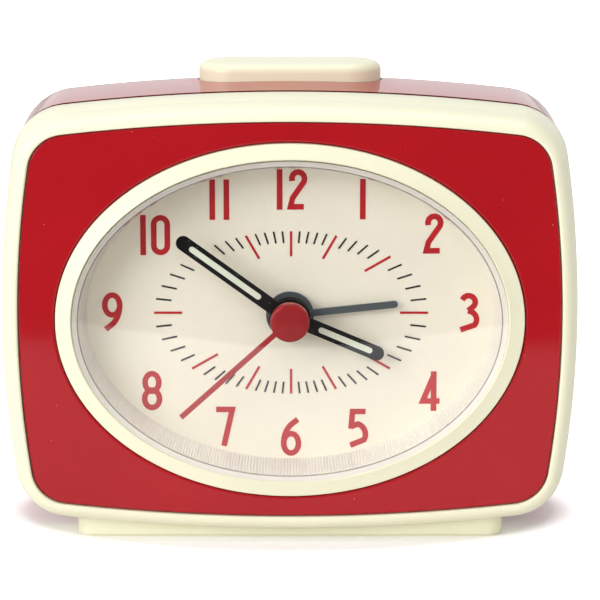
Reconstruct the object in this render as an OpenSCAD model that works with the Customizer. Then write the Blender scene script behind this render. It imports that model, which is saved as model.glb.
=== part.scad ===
// Retro table alarm clock with a bulged frame, an oval dial and a quartz movement.
// The front faces -Y and +Z is up. The origin is the middle of the foot's underside.
// Depths run backwards from the frame's front face, in millimetres.

/* [Case] */
// Width of the frame across its bulged sides
case_w = 107; // [102:0.5:114]
// Height of the frame across its bulged top and bottom
case_h = 81; // [79:0.5:86]
// Radius of the arc along each side
side_arc_r = 190; // [150:5:260]
// Radius of the arc along the top and the bottom
top_arc_r = 368; // [320:4:600]
// Corner radius of the frame
corner_r = 10.7; // [9.5:0.1:12]
// Smallest corner radius on the parts that draw in
corner_min_r = 5; // [4:0.5:6]
// Depth of the frame from front to back
frame_d = 13.5; // [12.5:0.5:16]
// Width of the rounding round the frame's front
frame_round = 2.6; // [1.6:0.1:2.6]
// Depth of that rounding
frame_round_d = 5.8; // [3:0.1:6.5]
// How far the frame flares out behind the rounding
frame_flare = 0.55; // [0.2:0.05:0.7]
// Width of the frame's face around the panel, measured from its widest line
frame_face = 3.7; // [3.7:0.05:4.4]
// How far the ledge behind the panel reaches in past the frame's face
ledge_w = 1.85; // [1:0.05:3]
// Thickness of that ledge
ledge_t = 2; // [1.5:0.1:3]
// Wall thickness of the frame and the shell
wall = 2; // [1.6:0.1:2.6]
// Depth of the straight part of the shell
shell_straight = 21.5; // [20:0.5:24]
// Depth of the rounded part of the shell
shell_curve_d = 16; // [15.5:0.5:20]
// How far the rounded part draws in
shell_curve_in = 8; // [7:0.25:9]
// Step from the frame down to the shell
shell_step = 0.1; // [0.05:0.05:0.4]
// Width of the groove between the frame and the shell
shell_groove_w = 2.4; // [1.5:0.1:3]
// Depth of that groove
shell_groove_t = 0.6; // [0.3:0.1:0.9]
// Draft of the shell's straight part, per millimetre of depth
shell_draft = 0.005; // [0:0.005:0.03]
// Width of the shell's rear lip
shell_lip = 1.4; // [1:0.1:2]
// Length of the tongue that plugs the shell into the frame
tongue_l = 2.5; // [1.5:0.1:3.5]
// Thickness of the tongue
tongue_t = 1.3; // [1:0.1:1.6]
// Gap left between parts that are put together
slip = 0.15; // [0.1:0.01:0.2]

/* [Foot] */
// Width of the foot
foot_w = 79; // [70:1:84]
// Depth of the foot
foot_d = 40; // [34:1:44]
// How far the foot's front lies behind the frame's face
foot_setback = 4; // [3:0.5:8]
// Height of the frame's lowest point above the table
frame_lift = 1; // [0.9:0.1:4]
// Radius of the foot's upright corners
foot_corner_r = 3; // [2:0.5:6]
// Small step round the foot's underside
foot_edge = 0.4; // [0.2:0.1:0.8]

/* [Front] */
// Depth of the panel's front face behind the frame's face
panel_recess = 0.5; // [0.4:0.1:1.2]
// Thickness of the panel
panel_t = 2; // [1.6:0.1:2.6]
// Width of the bezel's outer oval
bezel_w = 85.8; // [82:0.2:87]
// Height of the bezel's outer oval
bezel_h = 65.7; // [62:0.1:66.5]
// Width of the bezel's rim
bezel_band = 2.95; // [2.6:0.05:3.6]
// How far the bezel's crest stands out from the panel
bezel_lift = 1.4; // [1:0.1:2]
// Height of the bezel's outer edge over the panel
bezel_rim = 0.35; // [0.2:0.05:0.6]
// Wall thickness of the bezel's spigot behind the panel
bezel_spigot_t = 1.05; // [0.8:0.05:1.3]
// Thickness of the lens
lens_t = 1.3; // [1:0.1:1.8]
// Extra thickness of the lens's drafted side wall at its foot
lens_draft = 1; // [0.6:0.1:1]
// Rise of the lens's dome over its edge
lens_rise = 2.5; // [2.2:0.1:5]
// Thickness of the lens's foot flange
lens_flange_t = 1.3; // [0.8:0.1:2]
// Width of the lens's foot flange
lens_flange_w = 1; // [0.6:0.1:1.4]

/* [Dial] */
// Depth of the dial's face behind the frame's face
dial_depth = 8; // [7.6:0.1:9]
// Thickness of the dial
dial_t = 1; // [0.8:0.1:1.5]
// How far the dial's edge lies inside the bezel's outer oval
dial_inset = 1.5; // [1.2:0.1:1.9]
// Thickness of the printed marks
print_t = 0.08; // [0.05:0.01:0.15]
// Half width of the minute track
track_a = 25.3; // [22:0.1:26.5]
// Half height of the minute track
track_b = 15.3; // [13:0.1:16.5]
// Length of a minute mark at the sides of the track
minute_len_a = 2.9; // [2:0.1:4]
// Length of a minute mark at the top and bottom of the track
minute_len_b = 2.2; // [1.5:0.1:3]
// Width of a minute mark
minute_mark_w = 0.32; // [0.2:0.02:0.5]
// Length of an hour mark at the sides of the track
hour_len_a = 5.2; // [4:0.1:6]
// Length of an hour mark at the top and bottom of the track
hour_len_b = 4.7; // [3.5:0.1:6]
// Width of an hour mark
hour_mark_w = 0.44; // [0.3:0.02:0.7]
// Half width of the oval that the numerals stand on
numeral_a = 33.1; // [31.5:0.1:33.6]
// Half height of the oval that the numerals stand on
numeral_b = 23.3; // [21.5:0.1:23.3]
// Height of a numeral
digit_h = 7.5; // [6:0.1:7.5]
// Width of a numeral
digit_w = 3.8; // [3.2:0.1:4.2]
// Stroke width of a numeral
digit_stroke = 1.04; // [0.8:0.02:1.2]
// Distance between the middles of the two digits of ten and of twelve
digit_space = 3.2; // [2.6:0.1:3.4]
// Distance between the middles of the two digits of eleven
ones_space = 2.6; // [2.2:0.1:3]

/* [Hands] */
// Thickness of each hand
hand_t = 0.4; // [0.3:0.05:0.6]
// Height of the alarm hand's middle above the dial
alarm_lift = 1.2; // [1.2:0.1:1.7]
// Height of the hour hand's middle above the dial
hour_lift = 3.2; // [3:0.1:3.5]
// Height of the minute hand's middle above the dial
minute_lift = 5; // [4.6:0.1:5.3]
// Height of the second hand's middle above the dial
second_lift = 6.9; // [6.5:0.1:7.1]
// Length of the alarm hand
alarm_len = 20; // [14:0.1:24]
// Length of the hour hand
hour_len = 18.7; // [14:0.1:22]
// Length of the minute hand
minute_len = 25.4; // [18:0.1:26.5]
// Length of the second hand
second_len = 26.9; // [18:0.1:27]
// Width of the hour and minute hands
hand_w = 2.7; // [2.2:0.1:3]
// Width of the luminous slots
lume_w = 1.1; // [0.8:0.05:1.6]
// Width of the alarm hand
alarm_w = 1.3; // [0.9:0.1:2]
// Width of the second hand
second_w = 1; // [0.5:0.05:1.2]
// Radius of the alarm hand's hub
alarm_hub_r = 4.4; // [3.4:0.1:5]
// Radius of the hub of the hour, minute and second hands
hand_hub_r = 3.8; // [3:0.1:4]
// Radius of the second hand's cap
cap_r = 3.6; // [3:0.1:4]
// Height of the second hand's cap
cap_h = 1.9; // [1.2:0.1:2]
// Clockwise angle of the hour hand from twelve
hour_angle = 113; // [0:0.5:360]
// Clockwise angle of the minute hand from twelve
minute_angle = 306; // [0:0.5:360]
// Clockwise angle of the second hand from twelve
second_angle = 228; // [0:0.5:360]
// Clockwise angle of the alarm hand from twelve
alarm_angle = 84; // [0:0.5:360]

/* [Movement] */
// Width of the movement
mov_w = 54; // [52:0.5:57]
// Height of the movement
mov_h = 54; // [50:0.5:56]
// How far the movement's middle lies above the dial's middle
mov_up = 2; // [1.6:0.1:2.4]
// Thickness of the movement's front plate
plate_t = 2; // [1.6:0.1:2.4]
// Wall thickness of the movement's cover
mov_wall = 1.4; // [1:0.1:1.8]
// Thickness of a wheel
wheel_t = 1; // [0.8:0.05:1.1]
// Space between wheels
wheel_gap = 0.5; // [0.4:0.05:0.6]
// Radius of the second hand's arbor
second_r = 0.5; // [0.4:0.02:0.55]
// Wall of each pipe in the stack of hands
pipe_t = 0.6; // [0.5:0.02:0.65]
// Radius of the set arbors
arbor_r = 0.7; // [0.6:0.02:0.75]
// Radius of the arbors' fine pivots
pivot_r = 0.35; // [0.3:0.01:0.4]
// Running clearance of shafts, on the radius
run = 0.05; // [0.03:0.01:0.08]
// Radius of the rotor's magnet
magnet_r = 2.8; // [2.4:0.1:3]
// Thickness of the rotor's magnet and the stator
magnet_t = 1.4; // [1:0.1:1.5]
// Radius of the coil's winding
coil_r = 2.3; // [1.8:0.1:2.4]

/* [Back] */
// Thickness of the back cover's plug inside the shell
plug_t = 2.5; // [2.4:0.1:3]
// Thickness of the back cover's flange
flange_t = 1.2; // [1:0.1:1.6]
// How far the flange laps over the shell's lip
flange_lap = 0.9; // [0.6:0.1:1.2]
// Sideways distance of the case screws from the middle
screw_x = 35; // [34:0.2:36]
// Upright distance of the case screws from the dial's middle
screw_y = 23.5; // [22.5:0.1:24]
// Radius of a case screw's shank
screw_r = 1.2; // [1:0.05:1.4]
// Radius of a case screw's head
screw_head_r = 2.2; // [1.8:0.05:2.3]
// Radius of the screw posts
post_r = 3.2; // [3.1:0.05:3.4]
// Radius of a knob
knob_r = 6; // [5:0.1:7]
// Thickness of a knob
knob_t = 5; // [4:0.1:6]
// Gap between the cover and a knob
knob_gap = 0.8; // [0.5:0.1:1.2]
// Radius of the buzzer
buzzer_r = 8; // [6:0.1:8.5]
// Travel of the alarm switch
switch_travel = 4; // [3:0.1:5]

/* [Battery] */
// Length of the cell with its button
cell_l = 50.5; // [49.5:0.1:50.5]
// Radius of the cell
cell_r = 7.25; // [6.9:0.05:7.25]
// Height of the cell's middle above the dial's middle
cell_y = -16.5; // [-16.6:0.1:-15.6]
// Room for the cell around its barrel
cell_gap = 0.4; // [0.3:0.05:0.5]
// Wall thickness of the battery bay
bay_t = 1.2; // [1:0.1:1.4]
// Length of the contact spring at rest
contact_l = 4; // [3.6:0.1:4.4]
// Thickness of the contact plate at the other end
contact_plate_t = 0.4; // [0.3:0.05:0.6]
// Thickness of the battery door
door_t = 2; // [1.8:0.1:2.1]
// Radius of the door's hinge pins
hinge_r = 0.6; // [0.5:0.02:0.65]
// Length of the door's hinge pins
hinge_l = 1.2; // [0.9:0.1:1.5]

/* [Snooze button] */
// Length of the button along the top of the case
button_l = 34.5; // [30:0.5:37]
// Depth of the button from front to back
button_d = 14; // [12:0.2:14.4]
// Depth of the button's middle behind the frame's face
button_at = 36; // [35.4:0.2:37]
// Height of the button's top above the case's top
button_rise = 3.2; // [2.4:0.1:4]
// Rounding of the button's top edge
button_round = 1.7; // [1:0.1:2]
// Travel of the button
button_travel = 1.5; // [0.8:0.1:1.6]
// Distance of the springs from the button's middle
spring_x = 12; // [10:0.5:13]

/* [Hidden] */
$fn = 48;

// Colours
cream = [0.97, 0.95, 0.82];
red = [0.70, 0.09, 0.12];
ink = [0.08, 0.08, 0.08];
brass = [0.80, 0.65, 0.32];
steel = [0.72, 0.73, 0.75];
dark = [0.16, 0.16, 0.17];
white = [0.93, 0.93, 0.90];

// Steps along the case outline and round the ovals
side_steps = 4;
corner_steps = 7;
top_steps = 6;
oval_steps = 80;
curve_steps = 6;
over = 1;

// Places that follow from the sizes above
centre_z = frame_lift + case_h / 2;
front_y = -(foot_setback + foot_d / 2);
panel_back = panel_recess + panel_t;
shell_back = frame_d + shell_straight + shell_curve_d;
shell_flat_in = shell_step + shell_draft * shell_straight;
shell_open_in = shell_flat_in + shell_curve_in + shell_lip;
tongue_in = wall + slip;
bezel_crest = panel_recess - bezel_lift;
lens_in = bezel_band + slip;
lens_sink = 0.7;
lens_edge = bezel_crest + lens_sink;
spigot_end = dial_depth - lens_flange_t;
hole_in = bezel_band - bezel_spigot_t - slip;
screw_grip = 2;
post_meet = frame_d - screw_grip;
head_seat = frame_d + screw_grip;
head_t = 1.6;
cover_in = shell_back - plug_t;
cover_out = shell_back + flange_t;
plate_front = dial_depth + dial_t;
plate_back = plate_front + plate_t;
layer_step = wheel_t + wheel_gap;
mid_layer = 6;
magnet_front = layer(9);
magnet_mid = magnet_front + magnet_t / 2;
mov_inner = magnet_mid + coil_r + wheel_gap;
mov_back = mov_inner + mov_wall;
board_t = 1;
board_back = mov_back + board_t;
minute_pipe_r = second_r + run + pipe_t;
hour_pipe_r = minute_pipe_r + run + pipe_t;
alarm_pipe_r = hour_pipe_r + run + pipe_t;
hole_gap = 0.4;
// Start of a luminous slot from the hub's middle, and its end from the hand's tip
hour_slot = [6.3, 2.8];
minute_slot = [7.2, 3.3];
// How far the print shifts each numeral off its oval, from one to twelve
numeral_shift = [[0.9, -0.1], [0.7, 0.3], [0, 0.2], [0.2, 0.1], [0.2, -0.2], [0.2, 0],
  [0.5, 0.2], [0, 0.2], [0.3, 0.3], [0.2, 0], [-0.5, -0.2], [-0.3, 0]];
// How far the print shifts the minute track off the hands' axis
track_shift = [0.2, 0.2];
second_hub_r = cap_r - 0.5;

// Wheel train: teeth and places. The third wheel just clears the movement's lower wall.
cannon_teeth = 12;
minute_teeth = 36;
minute_pinion_teeth = 10;
hour_teeth = 40;
alarm_teeth = 40;
alarm_pinion_teeth = 10;
third_teeth = 64;
pinion_teeth = 8;
centre_teeth = 60;
second_teeth = 40;
step_teeth = 48;
tooth_tip = 0.8;
tooth_root = 1.1;
train_gap = 0.6667;
third_span = 1 + (third_teeth + 2 * tooth_tip) / (third_teeth + pinion_teeth);
set_reach = (mov_h / 2 - mov_up - mov_wall - train_gap) / third_span;
step_reach = 0.84 * set_reach;
rotor_reach = 0.7 * set_reach;
minute_dir = 150;
alarm_dir = 30;
third_dir = 270;
step_dir = 90;
rotor_dir = 30;
minute_arbor = set_reach * [cos(minute_dir), sin(minute_dir)];
alarm_arbor = set_reach * [cos(alarm_dir), sin(alarm_dir)];
third_arbor = set_reach * [cos(third_dir), sin(third_dir)];
step_arbor = step_reach * [cos(step_dir), sin(step_dir)];
rotor_arbor = step_arbor + rotor_reach * [cos(rotor_dir), sin(rotor_dir)];
// Half widths of a tooth at its tip and root, in pitches
tip_half = 0.12;
root_half = 0.30;

// Battery bay
bay_half_l = (cell_l + contact_l + contact_plate_t) / 2;
bay_half_h = cell_r + cell_gap;
cell_x = (contact_l - contact_plate_t) / 2;
cell_mid = cover_in - bay_t - cell_r;
bay_front = cell_mid - cell_r - cell_gap - bay_t;
cell_button_l = 1.2;
cell_button_r = 2.6;
door_seat = 1.5;
door_half_l = bay_half_l + door_seat;
barrel_r = door_t / 2;
door_top = cell_y + bay_half_h + door_seat;
hinge_drop = 0.8;
hinge_y = cell_y - bay_half_h - hinge_drop;
hinge_at = cover_out - barrel_r;
door_gap = slip;

// Snooze parts, as heights above the dial's middle
button_top = case_h / 2 + button_rise;
button_stop_t = 1.1;
button_stop_w = 1.2;
button_slot_gap = 2 * slip;
button_stop_gap = 0.7;
button_wall = 1.6;
button_boss_r = 2.7;
stop_far = button_at + button_d / 2 + button_stop_w;
button_stop_top = shell_inner_height(stop_far) - button_stop_gap;
button_stop_low = button_stop_top - button_stop_t;
spring_l = 6.2;
shelf_top = button_stop_low - spring_l;
shelf_t = 1.5;
shelf_half_l = spring_x + 5;
shelf_reach = 4;
shelf_front = button_at - shelf_reach;
switch_body = [6, 3.6, 6];
switch_stem_r = 1.2;
switch_stem_l = 0.6;
spring_r = 2;
spring_wire_r = 0.3;
spring_post_r = 1.3;
spring_post_h = 2;
spring_turns = 5;
contact_r0 = 4.5;
contact_r1 = 2.6;
contact_wire_r = 0.35;
contact_turns = 3;

// Set-lever switch, buzzer and board places on the back, from the dial's middle
slider_y = 17;
slider_nub = [4.8, 3];
slider_flange = [13, 6];
buzzer_at = [20, 12];
buzzer_t = 2.5;
buzzer_rim = 1;
sound_hole_r = 0.7;
sound_ring_r = 4;
sound_holes = 6;
mov_top = mov_up + mov_h / 2;
board_size = [44, 20];
board_over_arbors = 7;
board_y = minute_arbor.y + board_over_arbors;
chip_at = [-14, board_y + 5];
chip_size = [7, 7];
chip_t = 1.4;
crystal_at = [12, board_y + 5];
crystal_r = 1;
crystal_l = 6;
bobbin_l = 18;
coil_clear = 0.6;
bobbin_at = [-1, mov_top - mov_wall - coil_r - coil_clear];
bobbin_core_r = 1.3;
bobbin_flange_l = 1;
core_h = 1.4;
stator_leg_w = 2.5;
stator_w = 2 * (magnet_r + 1.6);
corner_screw_r = 0.6;
corner_head_r = 1.3;
corner_head_t = 1;
corner_post_r = 1.7;
corner_inset = 3.4;

// Depth of a wheel layer's front, counted from the front plate
function layer(n) = plate_back + wheel_gap + (n - 1) * layer_step;

// Depth of a hand's middle
function hand_depth(lift) = dial_depth - lift;

// How far the shell's rounded part has drawn in at an angle round its quarter oval
function curve_ring(inset, depth_len, draw_in, angle) =
  [inset + draw_in * (1 - cos(angle)), frame_d + shell_straight + depth_len * sin(angle)];

// Outside of the frame and of the shell as [inset, depth] pairs from front to back
function frame_outside() =
  concat([for (a = [0:15:90])
            [frame_flare + frame_round * (1 - sin(a)), frame_round_d * (1 - cos(a))]],
         [[0, frame_d]]);
function shell_outside() =
  concat([[shell_step + shell_groove_t, frame_d], [shell_step + shell_groove_t, frame_d + shell_groove_w],
          [shell_step, frame_d + shell_groove_w]],
         [for (i = [0:curve_steps])
            curve_ring(shell_flat_in, shell_curve_d, shell_curve_in, i * 90 / curve_steps)]);

// Height of the shell's inside top above the dial's middle at a depth
function shell_inner_height(depth) =
  let (part = (depth - frame_d - shell_straight) / (shell_curve_d - plug_t),
       draw_in = shell_open_in - shell_flat_in - wall)
  case_h / 2 - shell_flat_in - wall - draw_in * (1 - sqrt(1 - part * part));

// Case outline drawn in by an inset: arcs along the sides, the top and the corners
function outline(inset) =
  let (w = case_w / 2 - inset, h = case_h / 2 - inset,
       rs = side_arc_r - inset, rt = top_arc_r - inset,
       rc = max(corner_r - inset, corner_min_r),
       side_mid = [w - rs, 0], top_mid = [0, h - rt],
       span = norm(top_mid - side_mid), dir = (top_mid - side_mid) / span,
       along = ((rs - rc) ^ 2 - (rt - rc) ^ 2 + span * span) / (2 * span),
       corner = side_mid + along * dir + sqrt((rs - rc) ^ 2 - along ^ 2) * [-dir.y, dir.x],
       a_side = atan2(corner.y - side_mid.y, corner.x - side_mid.x),
       a_top = atan2(corner.y - top_mid.y, corner.x - top_mid.x),
       quarter = concat(arc(side_mid, rs, 0, a_side, side_steps),
                        arc(corner, rc, a_side, a_top, corner_steps),
                        arc(top_mid, rt, a_top, 90, top_steps)),
       half = concat(quarter, [[0, h]],
                     [for (i = [len(quarter) - 1:-1:1]) [-quarter[i].x, quarter[i].y]]))
  concat(half, [for (p = half) -p]);

// Points along an arc, without its last one
function arc(mid, r, from, to, steps) =
  [for (i = [0:steps - 1])
    let (a = from + (to - from) * i / steps) mid + r * [cos(a), sin(a)]];

// Oval inside the bezel's outer oval by an inset
function oval(inset) = oval_of(bezel_w / 2 - inset, bezel_h / 2 - inset);
function oval_of(a, b) =
  [for (i = [0:oval_steps - 1]) let (t = 360 * i / oval_steps) [a * cos(t), b * sin(t)]];

// Stadium outline of the snooze button, drawn in by an inset
function pill(inset) =
  let (r = button_d / 2 - inset, reach = (button_l - button_d) / 2)
  concat([for (a = [-90:10:90]) [reach + r * cos(a), r * sin(a)]],
         [for (a = [90:10:270]) [-reach + r * cos(a), r * sin(a)]]);

// A plan outline lifted to a height
function lifted(points, z) = [for (p = points) [p.x, p.y, z]];

// Reach of an oval in a clockwise direction from twelve
function oval_reach(a, b, at) = 1 / sqrt((sin(at) / a) ^ 2 + (cos(at) / b) ^ 2);
function clock_point(r, at) = [r * sin(at), r * cos(at)];

// Outline of a wheel with straight-flanked teeth, one of them centred on the phase angle
function gear(teeth, module_mm, phase) =
  let (pitch = 360 / teeth, mid = teeth * module_mm / 2,
       tip = mid + tooth_tip * module_mm, root = mid - tooth_root * module_mm)
  [for (k = [0:teeth - 1])
    for (c = [[root, -root_half], [tip, -tip_half], [tip, tip_half], [root, root_half]])
      let (a = phase + (k + c[1]) * pitch) c[0] * [cos(a), sin(a)]];
function mesh_module(reach, teeth_a, teeth_b) = 2 * reach / (teeth_a + teeth_b);
function gap_phase(dir, teeth) = dir + 180 + 180 / teeth;

// Ring lists into a solid: a closed loop of rings, or a chain capped at both ends
module loft(rings, closed = false) {
  n = len(rings[0]);
  m = len(rings);
  sides = [for (j = [0:(closed ? m - 1 : m - 2)]) for (i = [0:n - 1])
    let (k = (j + 1) % m, i2 = (i + 1) % n)
    each [[j * n + i, j * n + i2, k * n + i2], [j * n + i, k * n + i2, k * n + i]]];
  caps = closed ? [] : [[for (i = [n - 1:-1:0]) i], [for (i = [0:n - 1]) (m - 1) * n + i]];
  polyhedron(points = [for (r = rings) each r], faces = concat(sides, caps));
}

// Rings of the case outline from [inset, depth] pairs
function case_rings(sections) = [for (s = sections) lifted(outline(s[0]), -s[1])];
function oval_rings(sections) = [for (s = sections) lifted(oval(s[0]), -s[1])];

// Drawing plane on the dial's middle: x to the right, y up, z towards the viewer
module face() {
  translate([0, front_y, centre_z]) rotate([90, 0, 0]) children();
}

// Extrusion and drill between two depths
module slab(from, to) {
  translate([0, 0, -to]) linear_extrude(to - from) children();
}
module rod(from, to, r, at = [0, 0]) {
  translate([at.x, at.y, -to]) cylinder(h = to - from, r = r);
}
module plate(size, at = [0, 0]) {
  translate([at.x - size.x / 2, at.y - size.y / 2]) square(size);
}

// A coil of round wire as one unbroken tube, from radius r0 to r1 along z
function coil_point(r0, r1, l, turns, wire_r, t) =
  let (r = r0 + (r1 - r0) * t, a = 360 * turns * t)
  [r * cos(a), r * sin(a), wire_r + (l - 2 * wire_r) * t];
function coil_gap(r0, r1, l, turns, wire_r, steps) =
  min([for (i = [0:steps])
    let (t = i / steps * (1 - 1 / turns),
         here = coil_point(r0, r1, l, turns, wire_r, t),
         next = coil_point(r0, r1, l, turns, wire_r, t + 1 / turns))
    norm(next - here)]) - 2 * wire_r;
module coil(r0, r1, l, turns, wire_r) {
  steps = 8 * turns;
  echo(coil_least_gap = coil_gap(r0, r1, l, turns, wire_r, steps));
  rings = [for (i = [steps:-1:0])
    let (t = i / steps, p = coil_point(r0, r1, l, turns, wire_r, t), a = 360 * turns * t)
    [for (k = [5:-1:0]) p + wire_r * (cos(60 * k) * [cos(a), sin(a), 0] + sin(60 * k) * [0, 0, 1])]];
  loft(rings);
}

// Case
module front_frame() {
  edge = 0.4;
  ledge_back = panel_back + ledge_t;
  sections = concat([[frame_face - edge, 0]], frame_outside(),
    [[wall, frame_d], [wall, ledge_back], [frame_face + ledge_w, ledge_back],
     [frame_face + ledge_w, panel_back], [frame_face, panel_back], [frame_face, edge]]);
  color(cream) face() loft(case_rings(sections), closed = true);
}

module front_panel() {
  boss_r = post_r - slip;
  boss_floor = panel_back + slip;
  color(red) face() difference() {
    union() {
      slab(panel_recess, panel_back) difference() {
        polygon(outline(frame_face + slip));
        polygon(oval(hole_in));
      }
      at_screws() rod(panel_back - panel_t / 2, post_meet, boss_r);
    }
    at_screws() rod(boss_floor, post_meet + over, screw_r);
  }
}

module dial_bezel() {
  edge = 0.06 * bezel_band;
  rim = panel_recess - bezel_rim;
  sections = [[bezel_band - 2 * edge, bezel_crest], [edge, rim], [0, rim + edge], [0, panel_recess],
    [bezel_band - bezel_spigot_t, panel_recess], [bezel_band - bezel_spigot_t, spigot_end],
    [bezel_band, spigot_end], [bezel_band, bezel_crest + 2 * edge],
    [bezel_band - 0.6 * edge, bezel_crest + 0.6 * edge]];
  color(cream) face() loft(oval_rings(sections), closed = true);
}

module lens() {
  a_out = bezel_w / 2 - lens_in;
  b_out = bezel_h / 2 - lens_in;
  a_in = a_out - lens_t;
  b_in = b_out - lens_t;
  a_flange = a_out + lens_flange_w;
  b_flange = b_out + lens_flange_w;
  base = dial_depth;
  shoulder = base - lens_flange_t + slip;
  dome = [0.06, 0.25, 0.45, 0.63, 0.78, 0.9, 0.97];
  outer_edge = lens_edge - lens_t;
  outer = concat([for (s = dome) [s * a_out, s * b_out, outer_edge - lens_rise * (1 - s * s)]],
    [[a_out, b_out, outer_edge + lens_t], [a_out, b_out, shoulder],
     [a_flange, b_flange, shoulder], [a_flange, b_flange, base]]);
  inner = concat([[a_in - lens_draft, b_in - lens_draft, base], [a_in, b_in, lens_edge + lens_t]],
    [for (i = [len(dome) - 1:-1:0])
      let (s = dome[i]) [s * a_in, s * b_in, lens_edge - lens_rise * (1 - s * s)]]);
  color([0.9, 0.95, 0.95, 0.35]) face()
    loft([for (s = concat(outer, inner)) lifted(oval_of(s[0], s[1]), -s[2])]);
}

module rear_shell() {
  inner_in = shell_flat_in + wall;
  curve_len = shell_curve_d - plug_t;
  inner = [for (i = [curve_steps:-1:0])
    curve_ring(inner_in, curve_len, shell_open_in - inner_in, i * 90 / curve_steps)];
  tongue = [[tongue_in + tongue_t, frame_d + 2 * tongue_l], [tongue_in + tongue_t, frame_d - tongue_l],
    [tongue_in, frame_d - tongue_l], [tongue_in, frame_d]];
  color(red) difference() {
    face() loft(case_rings(concat(shell_outside(), [[shell_open_in, shell_back]], inner, tongue)),
                closed = true);
    translate([0, front_y + button_at, centre_z]) linear_extrude(case_h) polygon(pill(-button_slot_gap));
  }
}

module back_cover() {
  bay_out = [2 * (bay_half_l + bay_t), 2 * (bay_half_h + bay_t)];
  bay_in = [2 * bay_half_l, 2 * bay_half_h];
  cell_at = [0, cell_y];
  post_foot = cover_in + plug_t / 2;
  color(red) face() difference() {
    union() {
      slab(cover_in, shell_back) polygon(outline(shell_open_in + slip));
      slab(shell_back, cover_out) polygon(outline(shell_open_in - flange_lap));
      slab(bay_front, post_foot) plate(bay_out, cell_at);
      slab(shelf_front, post_foot)
        translate([-shelf_half_l, shelf_top - shelf_t]) square([2 * shelf_half_l, shelf_t]);
      at_screws() rod(post_meet, post_foot, post_r);
      for (x = [-spring_x, spring_x])
        translate([x, shelf_top - shelf_t / 2, -button_at]) rotate([-90, 0, 0])
          cylinder(h = shelf_t / 2 + spring_post_h, r = spring_post_r);
    }
    slab(bay_front + bay_t, cover_out + over) plate(bay_in, cell_at);
    door_recess();
    at_screws() rod(head_seat, cover_out + over, screw_head_r + slip);
    at_screws() rod(post_meet - over, head_seat + over, screw_r + slip);
    for (p = [minute_arbor, alarm_arbor]) rod(cover_in - over, cover_out + over, arbor_r + hole_gap, p);
    slab(cover_in - over, cover_out + over)
      plate([slider_nub.x + switch_travel + 2 * slip, slider_nub.y + 2 * slip], [0, slider_y]);
    for (i = [1:sound_holes])
      rod(cover_in - over, cover_out + over, sound_hole_r,
          buzzer_at + sound_ring_r * [cos(360 * i / sound_holes), sin(360 * i / sound_holes)]);
  }
}

// Pocket in the cover for the door, its round lower edge and its hinge pins
module door_recess() {
  half_l = door_half_l + door_gap;
  slab(cover_out - door_t - door_gap, cover_out + over)
    translate([-half_l, hinge_y]) square([2 * half_l, door_top + door_gap - hinge_y]);
  slab(cover_out - door_t - door_gap, cover_out + over)
    translate([-half_l, hinge_y - barrel_r - door_gap]) square([2 * half_l, barrel_r + door_gap]);
  hinge_line(2 * (half_l + hinge_l), hinge_r + run);
}

// Cylinder along the door's hinge line
module hinge_line(length, r) {
  translate([-length / 2, hinge_y, -hinge_at]) rotate([0, 90, 0]) cylinder(h = length, r = r);
}

module base_foot() {
  seat = 0.1;
  tall = frame_lift + corner_r;
  color(cream) difference() {
    union() {
      linear_extrude(foot_edge) foot_plan(foot_edge);
      translate([0, 0, foot_edge]) linear_extrude(tall) foot_plan(0);
    }
    face() loft(case_rings([for (s = concat(frame_outside(), shell_outside())) [s[0] - seat, s[1]]]));
  }
}

// Foot outline with round corners, drawn in by an inset
module foot_plan(inset) {
  r = foot_corner_r - inset;
  reach = [foot_w / 2 - foot_corner_r, foot_d / 2 - foot_corner_r];
  quarter = concat(arc(reach, r, 0, 90, 5), [reach + [0, r]]);
  half = concat(quarter, [for (i = [len(quarter) - 1:-1:0]) [-quarter[i].x, quarter[i].y]]);
  polygon(concat(half, [for (p = half) -p]));
}

module at_screws() {
  for (x = [-screw_x, screw_x]) for (y = [-screw_y, screw_y]) translate([x, y, 0]) children();
}

module case_screws() {
  slot_size = [3, 0.6];
  color(steel) face() at_screws() difference() {
    union() {
      rod(head_seat, head_seat + head_t, screw_head_r);
      rod(panel_back + 2 * slip, head_seat + head_t / 2, screw_r);
    }
    for (a = [0, 90]) slab(head_seat + head_t / 2, head_seat + head_t + over) rotate(a) plate(slot_size);
  }
}

// Dial and its printed marks
module dial() {
  color([0.95, 0.92, 0.84]) face() slab(dial_depth, plate_front) difference() {
    polygon(oval(dial_inset));
    circle(r = alarm_pipe_r + hole_gap);
  }
}

// One radial mark of the minute track
module track_mark(at, len_a, len_b, width) {
  far = oval_reach(track_a, track_b, at);
  near = oval_reach(track_a - len_a, track_b - len_b, at);
  translate(track_shift) rotate(-at) translate([-width / 2, near]) square([width, far - near]);
}

module minute_marks() {
  color(ink) face() slab(dial_depth - print_t, dial_depth)
    for (m = [0:59]) if (m % 5 != 0) track_mark(6 * m, minute_len_a, minute_len_b, minute_mark_w);
}

module hour_marks() {
  color(red) face() slab(dial_depth - print_t, dial_depth)
    for (h = [0:11]) track_mark(30 * h, hour_len_a, hour_len_b, hour_mark_w);
}

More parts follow.
